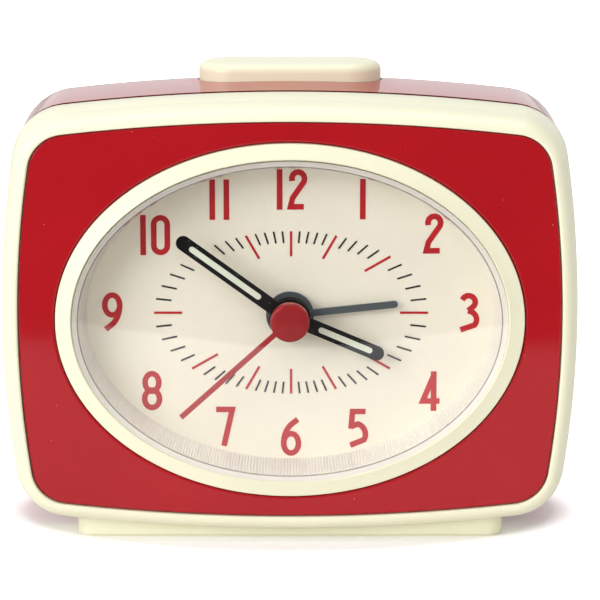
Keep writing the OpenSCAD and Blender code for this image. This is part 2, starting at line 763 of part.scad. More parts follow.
// Stroked digits. A centreline is widened to both sides with mitred bends.
function unit(v) = v / norm(v);
function side_of(v) = [-v.y, v.x];
function bend(path, i) =
  let (last = len(path) - 1,
       before = i == 0 ? unit(path[1] - path[0]) : unit(path[i] - path[i - 1]),
       after = i == last ? before : unit(path[i + 1] - path[i]),
       mid = unit(side_of(before) + side_of(after)))
  mid / (mid * side_of(before));
module stroke(path) {
  left = [for (i = [0:len(path) - 1]) path[i] + bend(path, i) * digit_stroke / 2];
  right = [for (i = [len(path) - 1:-1:0]) path[i] - bend(path, i) * digit_stroke / 2];
  polygon(concat(left, right));
}
module ring(mid, a, b) {
  difference() {
    translate(mid) polygon(ring_points(a + digit_stroke / 2, b + digit_stroke / 2));
    ring_hole(mid, a, b);
  }
}
module ring_hole(mid, a, b) {
  translate(mid) polygon(ring_points(a - digit_stroke / 2, b - digit_stroke / 2));
}
function ring_points(a, b) = [for (t = [0:15:345]) [a * cos(t), b * sin(t)]];
function stadium_points(a, b) =
  concat([for (t = [0:15:180]) [a * cos(t), b - a + a * sin(t)]],
         [for (t = [180:15:360]) [a * cos(t), a - b + a * sin(t)]]);
function swing(mid, a, b, from, to) =
  [for (i = [0:8]) let (t = from + (to - from) * i / 8) mid + [a * cos(t), b * sin(t)]];

module digit(n) {
  a = (digit_w - digit_stroke) / 2;
  b = (digit_h - digit_stroke) / 2;
  top = digit_h / 2;
  if (n == 0) difference() {
    polygon(stadium_points(0.9 * a + digit_stroke / 2, b + digit_stroke / 2));
    polygon(stadium_points(0.9 * a - digit_stroke / 2, b - digit_stroke / 2));
  }
  if (n == 1) stroke([[0, -top], [0, top]]);
  if (n == 2)
    stroke(concat(swing([0.15 * a, b - 0.9 * a], 0.85 * a, 0.9 * a, 200, -25),
                  [[-0.6 * a, -0.5 * b], [-0.88 * a, -b], [0.9 * a, -b]]));
  if (n == 3) {
    stroke(concat(swing([-0.1 * a, 0.62 * b], 0.9 * a, 0.38 * b, 160, -60), [[-0.15 * a, 0.12 * b]]));
    stroke(concat([[-0.15 * a, 0.12 * b]], swing([-0.6 * a, -0.4 * b], 1.6 * a, 0.56 * b, 50, -35),
                  [[-1.15 * a, -b]]));
  }
  if (n == 4) {
    stroke([[0.62 * a, -top], [0.62 * a, top]]);
    stroke([[0.62 * a, 0.92 * b], [-0.83 * a, -0.58 * b], [1.43 * a, -0.58 * b]]);
  }
  if (n == 5) {
    stroke([[a, b], [-0.75 * a, b], [-0.95 * a, -0.02 * b]]);
    stroke(concat([[-0.95 * a, 0.1 * b]], swing([-0.5 * a, -0.35 * b], 1.5 * a, 0.65 * b, 70, -30),
                  [[-1.05 * a, -b]]));
  }
  if (n == 6) hooked_ring(a, b);
  if (n == 7) stroke([[-1.27 * a, b], [0.9 * a, b], [-0.24 * a, -top]]);
  if (n == 8) {
    ring([0, 0.48 * b], 0.92 * a, 0.52 * b);
    ring([0, -0.48 * b], a, 0.52 * b);
  }
  if (n == 9) rotate(180) hooked_ring(a, b);
}

// The bowl and rising tail that six and nine share
module hooked_ring(a, b) {
  mid = [0, -0.42 * b];
  tall = 0.58 * b;
  difference() {
    union() {
      translate(mid) polygon(ring_points(a + digit_stroke / 2, tall + digit_stroke / 2));
      stroke(concat(swing([1.1 * a, -0.45 * b], 2.1 * a, 1.35 * b, 180, 115), [[0.9 * a, b]]));
    }
    ring_hole(mid, a, tall);
  }
}

module hour_numerals() {
  color(red) face() slab(dial_depth - print_t, dial_depth) for (h = [1:12])
    translate(clock_point(oval_reach(numeral_a, numeral_b, 30 * h), 30 * h) + numeral_shift[h - 1])
      if (h < 10) digit(h);
      else for (k = [0, 1])
        translate([(k - 0.5) * (h == 11 ? ones_space : digit_space), 0]) digit(k == 0 ? 1 : h - 10);
}

// Hands. Each is drawn pointing to twelve and turned clockwise.
module hand(lift, at, len, width, hub_r, bore_r, slot = [], blunt = false) {
  mid = hand_depth(lift);
  face() rotate(-at) slab(mid - hand_t / 2, mid + hand_t / 2) difference() {
    union() {
      translate([-width / 2, 0]) square([width, blunt ? len : len - width / 2]);
      if (!blunt) translate([0, len - width / 2]) circle(r = width / 2);
      circle(r = hub_r);
    }
    circle(r = bore_r);
    if (slot != []) lume_slot(len, slot);
  }
}
module lume_slot(len, slot) {
  near = slot[0];
  far = len - slot[1];
  translate([-lume_w / 2, near]) square([lume_w, far - near]);
  for (y = [near, far]) translate([0, y]) circle(r = lume_w / 2);
}
module lume(lift, at, len, slot) {
  mid = hand_depth(lift);
  thin = hand_t / 8;
  color([0.88, 0.92, 0.80]) face() rotate(-at) slab(mid - hand_t / 2 + thin, mid + hand_t / 2 - thin)
    lume_slot(len, slot);
}

module alarm_hand() {
  color([0.33, 0.38, 0.41])
    hand(alarm_lift, alarm_angle, alarm_len, alarm_w, alarm_hub_r, alarm_pipe_r);
}
module hour_hand() {
  color(ink) hand(hour_lift, hour_angle, hour_len, hand_w, hand_hub_r, hour_pipe_r, hour_slot);
}
module hour_hand_lume() {
  lume(hour_lift, hour_angle, hour_len, hour_slot);
}
module minute_hand() {
  color(ink)
    hand(minute_lift, minute_angle, minute_len, hand_w, hand_hub_r, minute_pipe_r, minute_slot);
}
module minute_hand_lume() {
  lume(minute_lift, minute_angle, minute_len, minute_slot);
}
module second_hand() {
  color(red)
    hand(second_lift, second_angle, second_len, second_w, second_hub_r, second_r, blunt = true);
}

module second_hand_cap() {
  back = hand_depth(second_lift) - hand_t / 2;
  rim = 0.6;
  rings = concat([for (a = [0:30:90]) [cap_r - rim * (1 - sin(a)), back - cap_h + rim * (1 - cos(a))]],
                 [[cap_r, back]]);
  color(red) face() loft([for (s = rings) lifted(oval_of(s[0], s[0]), -s[1])]);
}

// Snooze button, its springs and its switch
module snooze_button() {
  top = centre_z + button_top;
  bottom = centre_z + button_stop_low;
  rounding = [for (a = [90:-22.5:0])
    lifted(pill(button_round * (1 - cos(a))), top - button_round * (1 - sin(a)))];
  color(cream) translate([0, front_y + button_at, 0]) difference() {
    union() {
      loft(concat(rounding, [lifted(pill(0), bottom)]));
      translate([0, 0, bottom]) linear_extrude(button_stop_t) polygon(pill(-button_stop_w));
    }
    translate([0, 0, bottom - over]) linear_extrude(top - button_wall - bottom + over) difference() {
      polygon(pill(button_wall));
      for (x = [-spring_x, 0, spring_x]) translate([x, 0]) circle(r = button_boss_r);
    }
  }
}

module snooze_springs() {
  color(steel) for (x = [-spring_x, spring_x])
    translate([x, front_y + button_at, centre_z + shelf_top])
      coil(spring_r, spring_r, spring_l, spring_turns, spring_wire_r);
}

module snooze_switch() {
  color(dark) translate([0, front_y + button_at, centre_z + shelf_top]) {
    translate([-switch_body.x / 2, -switch_body.z / 2, 0])
      cube([switch_body.x, switch_body.z, switch_body.y]);
    cylinder(h = switch_body.y + switch_stem_l, r = switch_stem_r);
  }
}

// Controls on the back
module knob(at) {
  ridges = 24;
  groove = 0.35;
  front = cover_out + knob_gap;
  face() difference() {
    slab(front, front + knob_t) translate(at)
      polygon([for (i = [0:2 * ridges - 1])
        let (a = 180 * i / ridges, r = knob_r - (i % 2) * groove) r * [cos(a), sin(a)]]);
    rod(front - over, front + knob_t / 2, arbor_r, at);
  }
}
module time_knob() {
  color(dark) knob(minute_arbor);
}
module alarm_knob() {
  color(dark) knob(alarm_arbor);
}

module alarm_switch() {
  at = [-switch_travel / 2, slider_y];
  flange_inner_t = 1.2;
  color(dark) face() {
    slab(cover_in - slip - flange_inner_t, cover_in - slip) plate(slider_flange, at);
    slab(cover_in - slip - flange_inner_t, cover_out + knob_gap) plate(slider_nub, at);
  }
}

module buzzer() {
  color(brass) face() difference() {
    rod(cover_in - buzzer_t, cover_in, buzzer_r, buzzer_at);
    rod(cover_in - buzzer_t / 2, cover_in + over, buzzer_r - buzzer_rim, buzzer_at);
  }
}

// Battery, its contacts and its door
module battery() {
  barrel_l = cell_l - cell_button_l;
  color(steel) translate([cell_x - cell_l / 2, front_y + cell_mid, centre_z + cell_y]) rotate([0, 90, 0]) {
    cylinder(h = barrel_l, r = cell_r);
    cylinder(h = cell_l, r = cell_button_r);
  }
}

module battery_spring() {
  color(steel) translate([cell_x - cell_l / 2 - contact_l, front_y + cell_mid, centre_z + cell_y])
    rotate([0, 90, 0]) coil(contact_r0, contact_r1, contact_l, contact_turns, contact_wire_r);
}

module battery_plate() {
  size = 10;
  color(steel)
    translate([cell_x + cell_l / 2, front_y + cell_mid - size / 2, centre_z + cell_y - size / 2])
      cube([contact_plate_t, size, size]);
}

module battery_door() {
  color(red) face() {
    slab(cover_out - door_t, cover_out)
      translate([-door_half_l, hinge_y]) square([2 * door_half_l, door_top - hinge_y]);
    hinge_line(2 * door_half_l, barrel_r);
    hinge_line(2 * (door_half_l + hinge_l), hinge_r);
  }
}

// Quartz movement
module movement_plate() {
  pocket = plate_front + plate_t / 3;
  color(white) face() difference() {
    slab(plate_front, plate_back) plate([mov_w, mov_h], [0, mov_up]);
    rod(plate_front - over, plate_back + over, alarm_pipe_r + run);
    for (p = [minute_arbor, alarm_arbor, third_arbor]) rod(pocket, plate_back + over, pivot_r + run, p);
    at_movement_corners() rod(pocket, plate_back + over, corner_screw_r);
  }
}

module movement_mid_plate() {
  inner = 2 * (mov_wall + slip);
  notch = 2 * (corner_inset + over);
  from = layer(mid_layer);
  to = from + wheel_t;
  color(white) face() difference() {
    slab(from, to) plate([mov_w - inner, mov_h - inner], [0, mov_up]);
    rod(from - over, to + over, second_r + run);
    for (p = [third_arbor, step_arbor, rotor_arbor]) rod(from - over, to + over, pivot_r + run, p);
    for (p = [minute_arbor, alarm_arbor]) rod(from - over, to + over, arbor_r + hole_gap, p);
    at_movement_corners() slab(from - over, to + over) plate([notch, notch]);
  }
}

module movement_cover() {
  inner = 2 * mov_wall;
  color(white) face() difference() {
    union() {
      slab(plate_back, mov_back) difference() {
        plate([mov_w, mov_h], [0, mov_up]);
        plate([mov_w - inner, mov_h - inner], [0, mov_up]);
      }
      slab(mov_inner, mov_back) plate([mov_w, mov_h], [0, mov_up]);
      at_movement_corners() rod(plate_back, mov_back - mov_wall / 2, corner_post_r);
    }
    for (p = [[0, 0], step_arbor, rotor_arbor]) rod(mov_inner - over, mov_back + over, pivot_r + run, p);
    for (p = [minute_arbor, alarm_arbor]) rod(mov_inner - over, mov_back + over, arbor_r + run, p);
    at_movement_corners() rod(plate_back - over, mov_back + over, corner_screw_r + slip);
  }
}

module at_movement_corners() {
  for (x = [-1, 1]) for (y = [-1, 1])
    translate([x * (mov_w / 2 - corner_inset), mov_up + y * (mov_h / 2 - corner_inset), 0]) children();
}

module movement_screws() {
  color(steel) face() at_movement_corners() {
    rod(mov_back, mov_back + corner_head_t, corner_head_r);
    rod(plate_front + plate_t / 2, mov_back + corner_head_t / 2, corner_screw_r);
  }
}

module circuit_board() {
  color([0.12, 0.36, 0.20]) face() slab(mov_back, board_back) difference() {
    plate(board_size, [0, board_y]);
    for (p = [minute_arbor, alarm_arbor]) translate(p) circle(r = arbor_r + 2 * hole_gap);
  }
}

module clock_chip() {
  color(ink) face() slab(board_back, board_back + chip_t) plate(chip_size, chip_at);
}

module quartz_crystal() {
  color(steel) face() translate([crystal_at.x - crystal_l / 2, crystal_at.y, -board_back - crystal_r])
    rotate([0, 90, 0]) cylinder(h = crystal_l, r = crystal_r);
}

// Lying frame of the coil: z runs along the bobbin
module at_bobbin() {
  face() translate([bobbin_at.x, bobbin_at.y, -magnet_mid]) rotate([0, 90, 0]) children();
}

module coil_bobbin() {
  flange_r = coil_r + 0.2;
  color(dark) at_bobbin() difference() {
    union() {
      cylinder(h = bobbin_l, r = bobbin_core_r, center = true);
      for (s = [-1, 1]) translate([0, 0, s * (bobbin_l - bobbin_flange_l) / 2])
        cylinder(h = bobbin_flange_l, r = flange_r, center = true);
    }
    cube([magnet_t, core_h, bobbin_l + over], center = true);
  }
}

module coil_winding() {
  color([0.72, 0.40, 0.20]) at_bobbin() difference() {
    cylinder(h = bobbin_l - 2 * bobbin_flange_l, r = coil_r, center = true);
    cylinder(h = bobbin_l, r = bobbin_core_r, center = true);
  }
}

// The stator's two legs carry the field of the coil's core to the rotor
module stator() {
  reach = bobbin_l / 2 + stator_leg_w / 2;
  low = rotor_arbor.y - stator_w / 2;
  top = bobbin_at.y + core_h / 2;
  left = bobbin_at.x - reach - stator_leg_w;
  right = bobbin_at.x + reach + stator_leg_w;
  color(steel) face() slab(magnet_front, magnet_front + magnet_t) difference() {
    union() {
      translate([left, low]) square([right - left, stator_w]);
      for (x = [left, right - stator_leg_w]) translate([x, low]) square([stator_leg_w, top - low]);
      translate([left, top - core_h]) square([right - left, core_h]);
    }
    translate(rotor_arbor) circle(r = magnet_r + 2 * slip);
    translate(step_arbor) circle(r = pivot_r + 2 * hole_gap);
  }
}

module rotor() {
  m = mesh_module(rotor_reach, step_teeth, pinion_teeth);
  color(dark) face() translate(rotor_arbor) {
    rod(magnet_front, magnet_front + magnet_t, magnet_r);
    rod(layer(mid_layer), mov_back, pivot_r);
    slab(layer(8), magnet_front + magnet_t / 2)
      polygon(gear(pinion_teeth, m, gap_phase(rotor_dir, pinion_teeth)));
  }
}

module intermediate_wheel() {
  m_rotor = mesh_module(rotor_reach, step_teeth, pinion_teeth);
  m_second = mesh_module(step_reach, second_teeth, pinion_teeth);
  color(white) face() translate(step_arbor) {
    rod(layer(mid_layer), mov_back, pivot_r);
    slab(layer(8), layer(8) + wheel_t) polygon(gear(step_teeth, m_rotor, rotor_dir));
    slab(layer(7), layer(8) + wheel_t / 2)
      polygon(gear(pinion_teeth, m_second, gap_phase(step_dir, pinion_teeth)));
  }
}

module second_wheel() {
  m_step = mesh_module(step_reach, second_teeth, pinion_teeth);
  m_third = mesh_module(set_reach, third_teeth, pinion_teeth);
  color(brass) face() {
    rod(hand_depth(second_lift) - hand_t / 2, layer(8), second_r);
    rod(layer(7), mov_back, pivot_r);
    slab(layer(7), layer(7) + wheel_t) polygon(gear(second_teeth, m_step, step_dir));
    slab(layer(5), layer(5) + wheel_t) polygon(gear(pinion_teeth, m_third, third_dir));
  }
}

module third_wheel() {
  m_second = mesh_module(set_reach, third_teeth, pinion_teeth);
  m_centre = mesh_module(set_reach, centre_teeth, pinion_teeth);
  color(white) face() translate(third_arbor) {
    rod(plate_front + plate_t / 2, layer(mid_layer) + wheel_t, pivot_r);
    rod(plate_back + wheel_gap, layer(5), second_r);
    slab(layer(5), layer(5) + wheel_t)
      polygon(gear(third_teeth, m_second, gap_phase(third_dir, third_teeth)));
    slab(layer(4), layer(5) + wheel_t / 2)
      polygon(gear(pinion_teeth, m_centre, gap_phase(third_dir, pinion_teeth)));
  }
}

module centre_wheel() {
  m = mesh_module(set_reach, centre_teeth, pinion_teeth);
  color(brass) face() slab(layer(4), layer(4) + wheel_t) difference() {
    polygon(gear(centre_teeth, m, third_dir));
    circle(r = minute_pipe_r + run);
  }
}

module cannon_pinion() {
  m = mesh_module(set_reach, cannon_teeth, minute_teeth);
  color(steel) face() difference() {
    union() {
      rod(hand_depth(minute_lift) - hand_t / 2, layer(4) + wheel_t, minute_pipe_r);
      slab(layer(3), layer(3) + wheel_t) polygon(gear(cannon_teeth, m, minute_dir));
    }
    rod(hand_depth(second_lift), layer(5), second_r + run);
  }
}

module minute_wheel() {
  m_cannon = mesh_module(set_reach, cannon_teeth, minute_teeth);
  m_hour = mesh_module(set_reach, hour_teeth, minute_pinion_teeth);
  color(white) face() translate(minute_arbor) {
    rod(plate_front + plate_t / 2, layer(3), pivot_r);
    rod(plate_back + wheel_gap / 2, cover_out + knob_gap + knob_t / 2, arbor_r);
    slab(layer(3), layer(3) + wheel_t)
      polygon(gear(minute_teeth, m_cannon, gap_phase(minute_dir, minute_teeth)));
    slab(layer(2), layer(3) + wheel_t / 2)
      polygon(gear(minute_pinion_teeth, m_hour, gap_phase(minute_dir, minute_pinion_teeth)));
  }
}

module hour_wheel() {
  m = mesh_module(set_reach, hour_teeth, minute_pinion_teeth);
  color(white) face() difference() {
    union() {
      rod(hand_depth(hour_lift) - hand_t / 2, layer(2) + wheel_t, hour_pipe_r);
      slab(layer(2), layer(2) + wheel_t) polygon(gear(hour_teeth, m, minute_dir));
    }
    rod(hand_depth(minute_lift), layer(3), minute_pipe_r + run);
  }
}

module alarm_wheel() {
  m = mesh_module(set_reach, alarm_teeth, alarm_pinion_teeth);
  color(white) face() difference() {
    union() {
      rod(hand_depth(alarm_lift) - hand_t / 2, layer(1) + wheel_t, alarm_pipe_r);
      slab(layer(1), layer(1) + wheel_t) polygon(gear(alarm_teeth, m, alarm_dir));
    }
    rod(hand_depth(hour_lift), layer(2), hour_pipe_r + run);
  }
}

module alarm_stem() {
  m = mesh_module(set_reach, alarm_teeth, alarm_pinion_teeth);
  color(white) face() translate(alarm_arbor) {
    rod(plate_front + plate_t / 2, layer(2), pivot_r);
    rod(plate_back + wheel_gap / 2, cover_out + knob_gap + knob_t / 2, arbor_r);
    slab(layer(1), layer(1) + wheel_t)
      polygon(gear(alarm_pinion_teeth, m, gap_phase(alarm_dir, alarm_pinion_teeth)));
  }
}

front_frame();
front_panel();
dial_bezel();
lens();
dial();
minute_marks();
hour_marks();
hour_numerals();
rear_shell();
back_cover();
base_foot();
case_screws();
alarm_hand();
hour_hand();
hour_hand_lume();
minute_hand();
minute_hand_lume();
second_hand();
second_hand_cap();
snooze_button();
snooze_springs();
snooze_switch();
time_knob();
alarm_knob();
alarm_switch();
battery();
battery_spring();
battery_plate();
battery_door();
buzzer();
movement_plate();
movement_mid_plate();
movement_cover();
movement_screws();
circuit_board();
clock_chip();
quartz_crystal();
coil_bobbin();
coil_winding();
stator();
rotor();
intermediate_wheel();
second_wheel();
third_wheel();
centre_wheel();
cannon_pinion();
minute_wheel();
hour_wheel();
alarm_wheel();
alarm_stem();
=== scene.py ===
# %% [markdown]
# Dressing a retro alarm clock
#
# The clock comes in as finished solids: a cream frame, a glossy red case, an oval dial behind a
# domed lens, four hands, and a quartz movement inside. The solids stay where they are. This lesson
# gives each of them a finish, remakes the few whose surface needs more than a solid holds, and sets
# up the camera, the light and the table top.

# %% Load the solids
import math

import bmesh
import bpy
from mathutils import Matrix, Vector


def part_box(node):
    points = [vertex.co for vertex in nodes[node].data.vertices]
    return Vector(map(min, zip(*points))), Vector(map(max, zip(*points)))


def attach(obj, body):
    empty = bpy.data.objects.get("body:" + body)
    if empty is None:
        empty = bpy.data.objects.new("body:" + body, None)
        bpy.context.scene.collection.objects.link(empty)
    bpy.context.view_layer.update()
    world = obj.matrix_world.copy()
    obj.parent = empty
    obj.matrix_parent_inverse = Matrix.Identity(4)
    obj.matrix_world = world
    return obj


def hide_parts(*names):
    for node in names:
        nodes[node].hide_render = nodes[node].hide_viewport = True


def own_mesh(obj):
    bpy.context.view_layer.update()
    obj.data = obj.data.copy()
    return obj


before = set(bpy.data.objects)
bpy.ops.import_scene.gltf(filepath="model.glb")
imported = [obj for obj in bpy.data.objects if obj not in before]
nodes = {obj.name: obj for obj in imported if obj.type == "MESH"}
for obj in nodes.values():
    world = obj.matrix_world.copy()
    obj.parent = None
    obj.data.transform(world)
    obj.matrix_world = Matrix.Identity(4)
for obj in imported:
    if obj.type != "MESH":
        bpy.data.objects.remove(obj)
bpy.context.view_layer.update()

MM = 0.001

# %% [markdown]
# Where the clock's face is
#
# Most pieces are drawn on the face: x to the right, up from the dial's middle, and depth backwards
# from the frame's front. Both reference places can be read from the solids' boxes, so nothing is
# typed twice.

# %% The face as a drawing plane
face_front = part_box("front_frame")[0].y
dial_middle = (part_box("dial")[0].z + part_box("dial")[1].z) / 2


def on_face(x, up, depth):
    """A point on the face, given in metres, in the clock's own frame."""
    return Vector((x, face_front + depth, dial_middle + up))


print("face front", round(face_front / MM, 2), "dial middle", round(dial_middle / MM, 2))

# %% [markdown]
# The camera
#
# The picture is taken with a long lens from straight in front and a little above, so the top of the
# case shows as a narrow band. The camera looks at the middle of the face, and a small shift puts
# that middle where it sits in the picture.

# %% Set up the camera
PICTURE = 600
FACE_MIDDLE_PX = (289.95, 322.0)
ELEVATION = math.radians(11.65)
DISTANCE = 0.660
LENS_MM = 217.0
SENSOR_MM = 36
NEAREST = 0.01

camera_data = bpy.data.cameras.new("camera")
camera_data.lens = LENS_MM
camera_data.sensor_width = SENSOR_MM
camera_data.shift_x = (PICTURE / 2 - FACE_MIDDLE_PX[0]) / PICTURE
camera_data.shift_y = (FACE_MIDDLE_PX[1] - PICTURE / 2) / PICTURE
camera_data.clip_start = NEAREST
camera = bpy.data.objects.new("camera", camera_data)
bpy.context.scene.collection.objects.link(camera)
towards_camera = Vector((0, -math.cos(ELEVATION), math.sin(ELEVATION)))
camera.location = on_face(0, 0, 0) + towards_camera * DISTANCE
camera.rotation_euler = (-towards_camera).to_track_quat("-Z", "Y").to_euler()
bpy.context.scene.camera = camera
bpy.context.scene.view_settings.view_transform = "Standard"
print("camera at", [round(v, 3) for v in camera.location])

# %% [markdown]
# Small helpers for finishes
#
# A finish is a node material. A few helpers keep the node code short: one adds a node and sets its
# sockets, one joins two sockets, one does a sum, and one sets a plain number on the main shader.
# Colours are easiest to judge as screen values, so another turns those into the linear values that
# the shader wants.


# %% Colours and finishes
def screen(red, green, blue):
    """A screen colour, 0 to 255, as the shader's linear colour."""
    def linear(v):
        v = v / 255
        return v / 12.92 if v <= 0.04045 else ((v + 0.055) / 1.055) ** 2.4
    return (linear(red), linear(green), linear(blue), 1)


def new_finish(name):
    """A fresh node material, and the main shader in it."""
    finish = bpy.data.materials.new(name)
    finish.use_nodes = True
    return finish, finish.node_tree.nodes["Principled BSDF"]


def set_shader(finish, socket, value):
    """Set one plain number on the finish's main shader."""
    finish.node_tree.nodes["Principled BSDF"].inputs[socket].default_value = value


print("colour and finish helpers ready")


# %% Nodes, links and sums
def tree_of(owner):
    """The node tree of a material or a world, or the node group itself."""
    return owner if isinstance(owner, bpy.types.NodeTree) else owner.node_tree


def add(owner, kind, **sockets):
    """A node of that kind, with its sockets set by name."""
    node = tree_of(owner).nodes.new(kind)
    for name, value in sockets.items():
        node.inputs[name.replace("_", " ")].default_value = value
    return node


def join(owner, out, into):
    """A link from one node's output to another's input."""
    tree_of(owner).links.new(out, into)


def maths(owner, operation, one, other):
    """A sum on two numbers, each of them a socket or a plain value."""
    node = add(owner, "ShaderNodeMath")
    node.operation = operation
    for socket, value in zip(node.inputs, (one, other)):
        if isinstance(value, bpy.types.NodeSocket):
            join(owner, value, socket)
        else:
            socket.default_value = value
    return node.outputs[0]


print("node helpers ready")

# %% [markdown]
# The table top
#
# The clock stands on a plain white table. A disc wide enough to fill the picture is all it takes.
# The floor's own colour keeps the soft shadow, and a little glow that only the camera and the shiny
# surfaces see lifts the open table to the white of the picture without putting light on the clock.
# Away from the clock the glow grows for the camera, so the table melts into the white room.

# %% Helpers for the stage
WATCHING = ("Is Camera Ray", "Is Glossy Ray", "Is Transmission Ray")


def watched(owner, unseen, seen):
    """A number that is one value for lamps and shade, and another for the camera, gloss and glass."""
    path = add(owner, "ShaderNodeLightPath")
    total = path.outputs[WATCHING[0]]
    for name in WATCHING[1:]:
        total = maths(owner, "MAXIMUM", total, path.outputs[name])
    span = add(owner, "ShaderNodeMapRange", To_Min=unseen, To_Max=seen)
    join(owner, total, span.inputs["Value"])
    return span.outputs["Result"]


def stage_piece(name, points, faces, finish):
    """A flat piece of the stage, which is not part of the clock."""
    mesh = bpy.data.meshes.new(name)
    mesh.from_pydata(points, [], faces)
    mesh.materials.append(finish)
    piece = bpy.data.objects.new(name, mesh)
    bpy.context.scene.collection.objects.link(piece)
    return piece


print("stage helpers ready")

# %% The table's finish
FLOOR_GLOW = 0.16
GLOW_OVAL = (1, 1.7, 1)
GLOW_FROM = 0.050
GLOW_FULL = 0.060
floor_finish, floor_shader = new_finish("white_table")
floor_shader.inputs["Base Color"].default_value = screen(244, 242, 242)
floor_shader.inputs["Roughness"].default_value = 0.7
floor_shader.inputs["Emission Color"].default_value = (1, 1, 1, 1)
place = add(floor_finish, "ShaderNodeMapping", Scale=GLOW_OVAL)
join(floor_finish, add(floor_finish, "ShaderNodeTexCoord").outputs["Object"], place.inputs["Vector"])
distance = add(floor_finish, "ShaderNodeVectorMath")
distance.operation = "LENGTH"
join(floor_finish, place.outputs["Vector"], distance.inputs[0])
away = add(floor_finish, "ShaderNodeMapRange", From_Min=GLOW_FROM, From_Max=GLOW_FULL)
join(floor_finish, distance.outputs["Value"], away.inputs["Value"])
camera_only = add(floor_finish, "ShaderNodeLightPath").outputs["Is Camera Ray"]
open_table = maths(floor_finish, "MULTIPLY", away.outputs["Result"], camera_only)
glow = maths(floor_finish, "ADD", open_table, watched(floor_finish, 0, FLOOR_GLOW))
join(floor_finish, glow, floor_shader.inputs["Emission Strength"])
print("the table glows fully from", GLOW_FULL, "m to each side")

# %% Lay the floor
FLOOR_REACH = 4.0
FLOOR_SIDES = 64
turns = [math.tau * i / FLOOR_SIDES for i in range(FLOOR_SIDES)]
rim = [(FLOOR_REACH * math.cos(a), FLOOR_REACH * math.sin(a), 0) for a in turns]
floor = stage_piece("floor", rim, [range(FLOOR_SIDES)], floor_finish)
print(floor.name, "reaches", FLOOR_REACH, "m")

# %% [markdown]
# The dark card in front
#
# Glossy fronts show what lies before them. In the picture the lower half of the face mirrors the
# white table and the upper half mirrors the darker room, with a level line between. A dark card that
# lies on the table in front of the clock and rises behind the camera does the same in a studio. Only
# shiny surfaces see it: the camera, the lamps and the shade do not.

# %% Lay the dark card
CARD_NEAR = 0.172
CARD_SLANT = 0.08
CARD_FAR = 1.2
CARD_HALF_W = 1.6
CARD_Z = 0.001
CARD_PROFILE = ((CARD_FAR, CARD_Z), (CARD_FAR + 0.3, 0.2), (CARD_FAR + 0.4, 1.4))
card_finish, card_shader = new_finish("dark_card")
card_shader.inputs["Base Color"].default_value = screen(60, 52, 50)
card_shader.inputs["Roughness"].default_value = 0.9
card_points = []
for side in (-1, 1):
    card_points.append((side * CARD_HALF_W, face_front - CARD_NEAR + side * CARD_SLANT, CARD_Z))
for reach, z in CARD_PROFILE:
    card_points += [(side * CARD_HALF_W, face_front - reach, z) for side in (-1, 1)]
card_faces = [(2 * i, 2 * i + 1, 2 * i + 3, 2 * i + 2) for i in range(len(CARD_PROFILE))]
card = stage_piece("dark_card", card_points, card_faces, card_finish)
card.visible_camera = False
card.visible_diffuse = False
card.visible_shadow = False
print("card starts", CARD_NEAR, "m in front")

# %% [markdown]
# Light
#
# One soft lamp stands at the left, so the bezel throws a soft shade on that side of the dial and the
# right side of the frame falls off a little. A weaker lamp fills from the front, one overhead lights
# the top of the case, and the white room does the rest. The fill lamp is kept out of mirror images, or
# it would show as a pale patch in the lens. The levels are set so that a colour shows about as it is
# written.

# %% The white room
ROOM_LIGHT = 0.42
room = bpy.data.worlds.new("white_room")
room.use_nodes = True
bpy.context.scene.world = room
room_shader = room.node_tree.nodes["Background"]
room_shader.inputs["Color"].default_value = (1, 1, 1, 1)
join(room, watched(room, ROOM_LIGHT, 1), room_shader.inputs["Strength"])
print("the room lights the clock at", ROOM_LIGHT)


# %% Three lamps
def soft_lamp(name, place, size, watts):
    """A square area lamp that faces the clock."""
    lamp_data = bpy.data.lights.new(name, "AREA")
    lamp_data.size = size
    lamp_data.energy = watts
    lamp = bpy.data.objects.new(name, lamp_data)
    bpy.context.scene.collection.objects.link(lamp)
    lamp.location = place
    lamp.rotation_euler = (on_face(0, 0, 0) - lamp.location).to_track_quat("-Z", "Y").to_euler()
    return lamp


key = soft_lamp("key_lamp", Vector((-0.50, -0.45, 0.32)), size=0.45, watts=2.6)
fill = soft_lamp("fill_lamp", Vector((0.15, -1.00, 0.42)), size=0.60, watts=2.2)
above = soft_lamp("top_lamp", Vector((0, 0.05, 0.90)), size=0.70, watts=2.6)
fill.visible_glossy = False
fill.visible_transmission = False
print("lamps:", key.name, fill.name, above.name)

# %% [markdown]
# Texture helpers
#
# All the finishes are built from the same few things: cloudy noise of a given size, a range to
# spread it over, a blend of two tints, a fine relief, and specks of dust. Sizes are in metres on the
# clock itself, so a grain keeps its size on every piece.


# %% Places, noise and ranges
NOISE_LOW = 0.3
NOISE_HIGH = 0.7


def on_surface(finish):
    """Each point's place on the clock."""
    return add(finish, "ShaderNodeTexCoord").outputs["Object"]


def place_along(finish, axis):
    """How far along X, Y or Z each point lies."""
    split = add(finish, "ShaderNodeSeparateXYZ")
    join(finish, on_surface(finish), split.inputs["Vector"])
    return split.outputs[axis]


def cloud(finish, size, detail=2.0):
    """Cloudy noise with features of about that size."""
    noise = add(finish, "ShaderNodeTexNoise", Scale=1 / size, Detail=detail)
    join(finish, on_surface(finish), noise.inputs["Vector"])
    return noise.outputs["Fac"]


def spread(finish, value, low, high):
    """The middle of the noise's range, spread from low to high."""
    span = add(finish, "ShaderNodeMapRange", From_Min=NOISE_LOW, From_Max=NOISE_HIGH, To_Min=low, To_Max=high)
    join(finish, value, span.inputs["Value"])
    return span.outputs["Result"]


print("noise helpers ready")


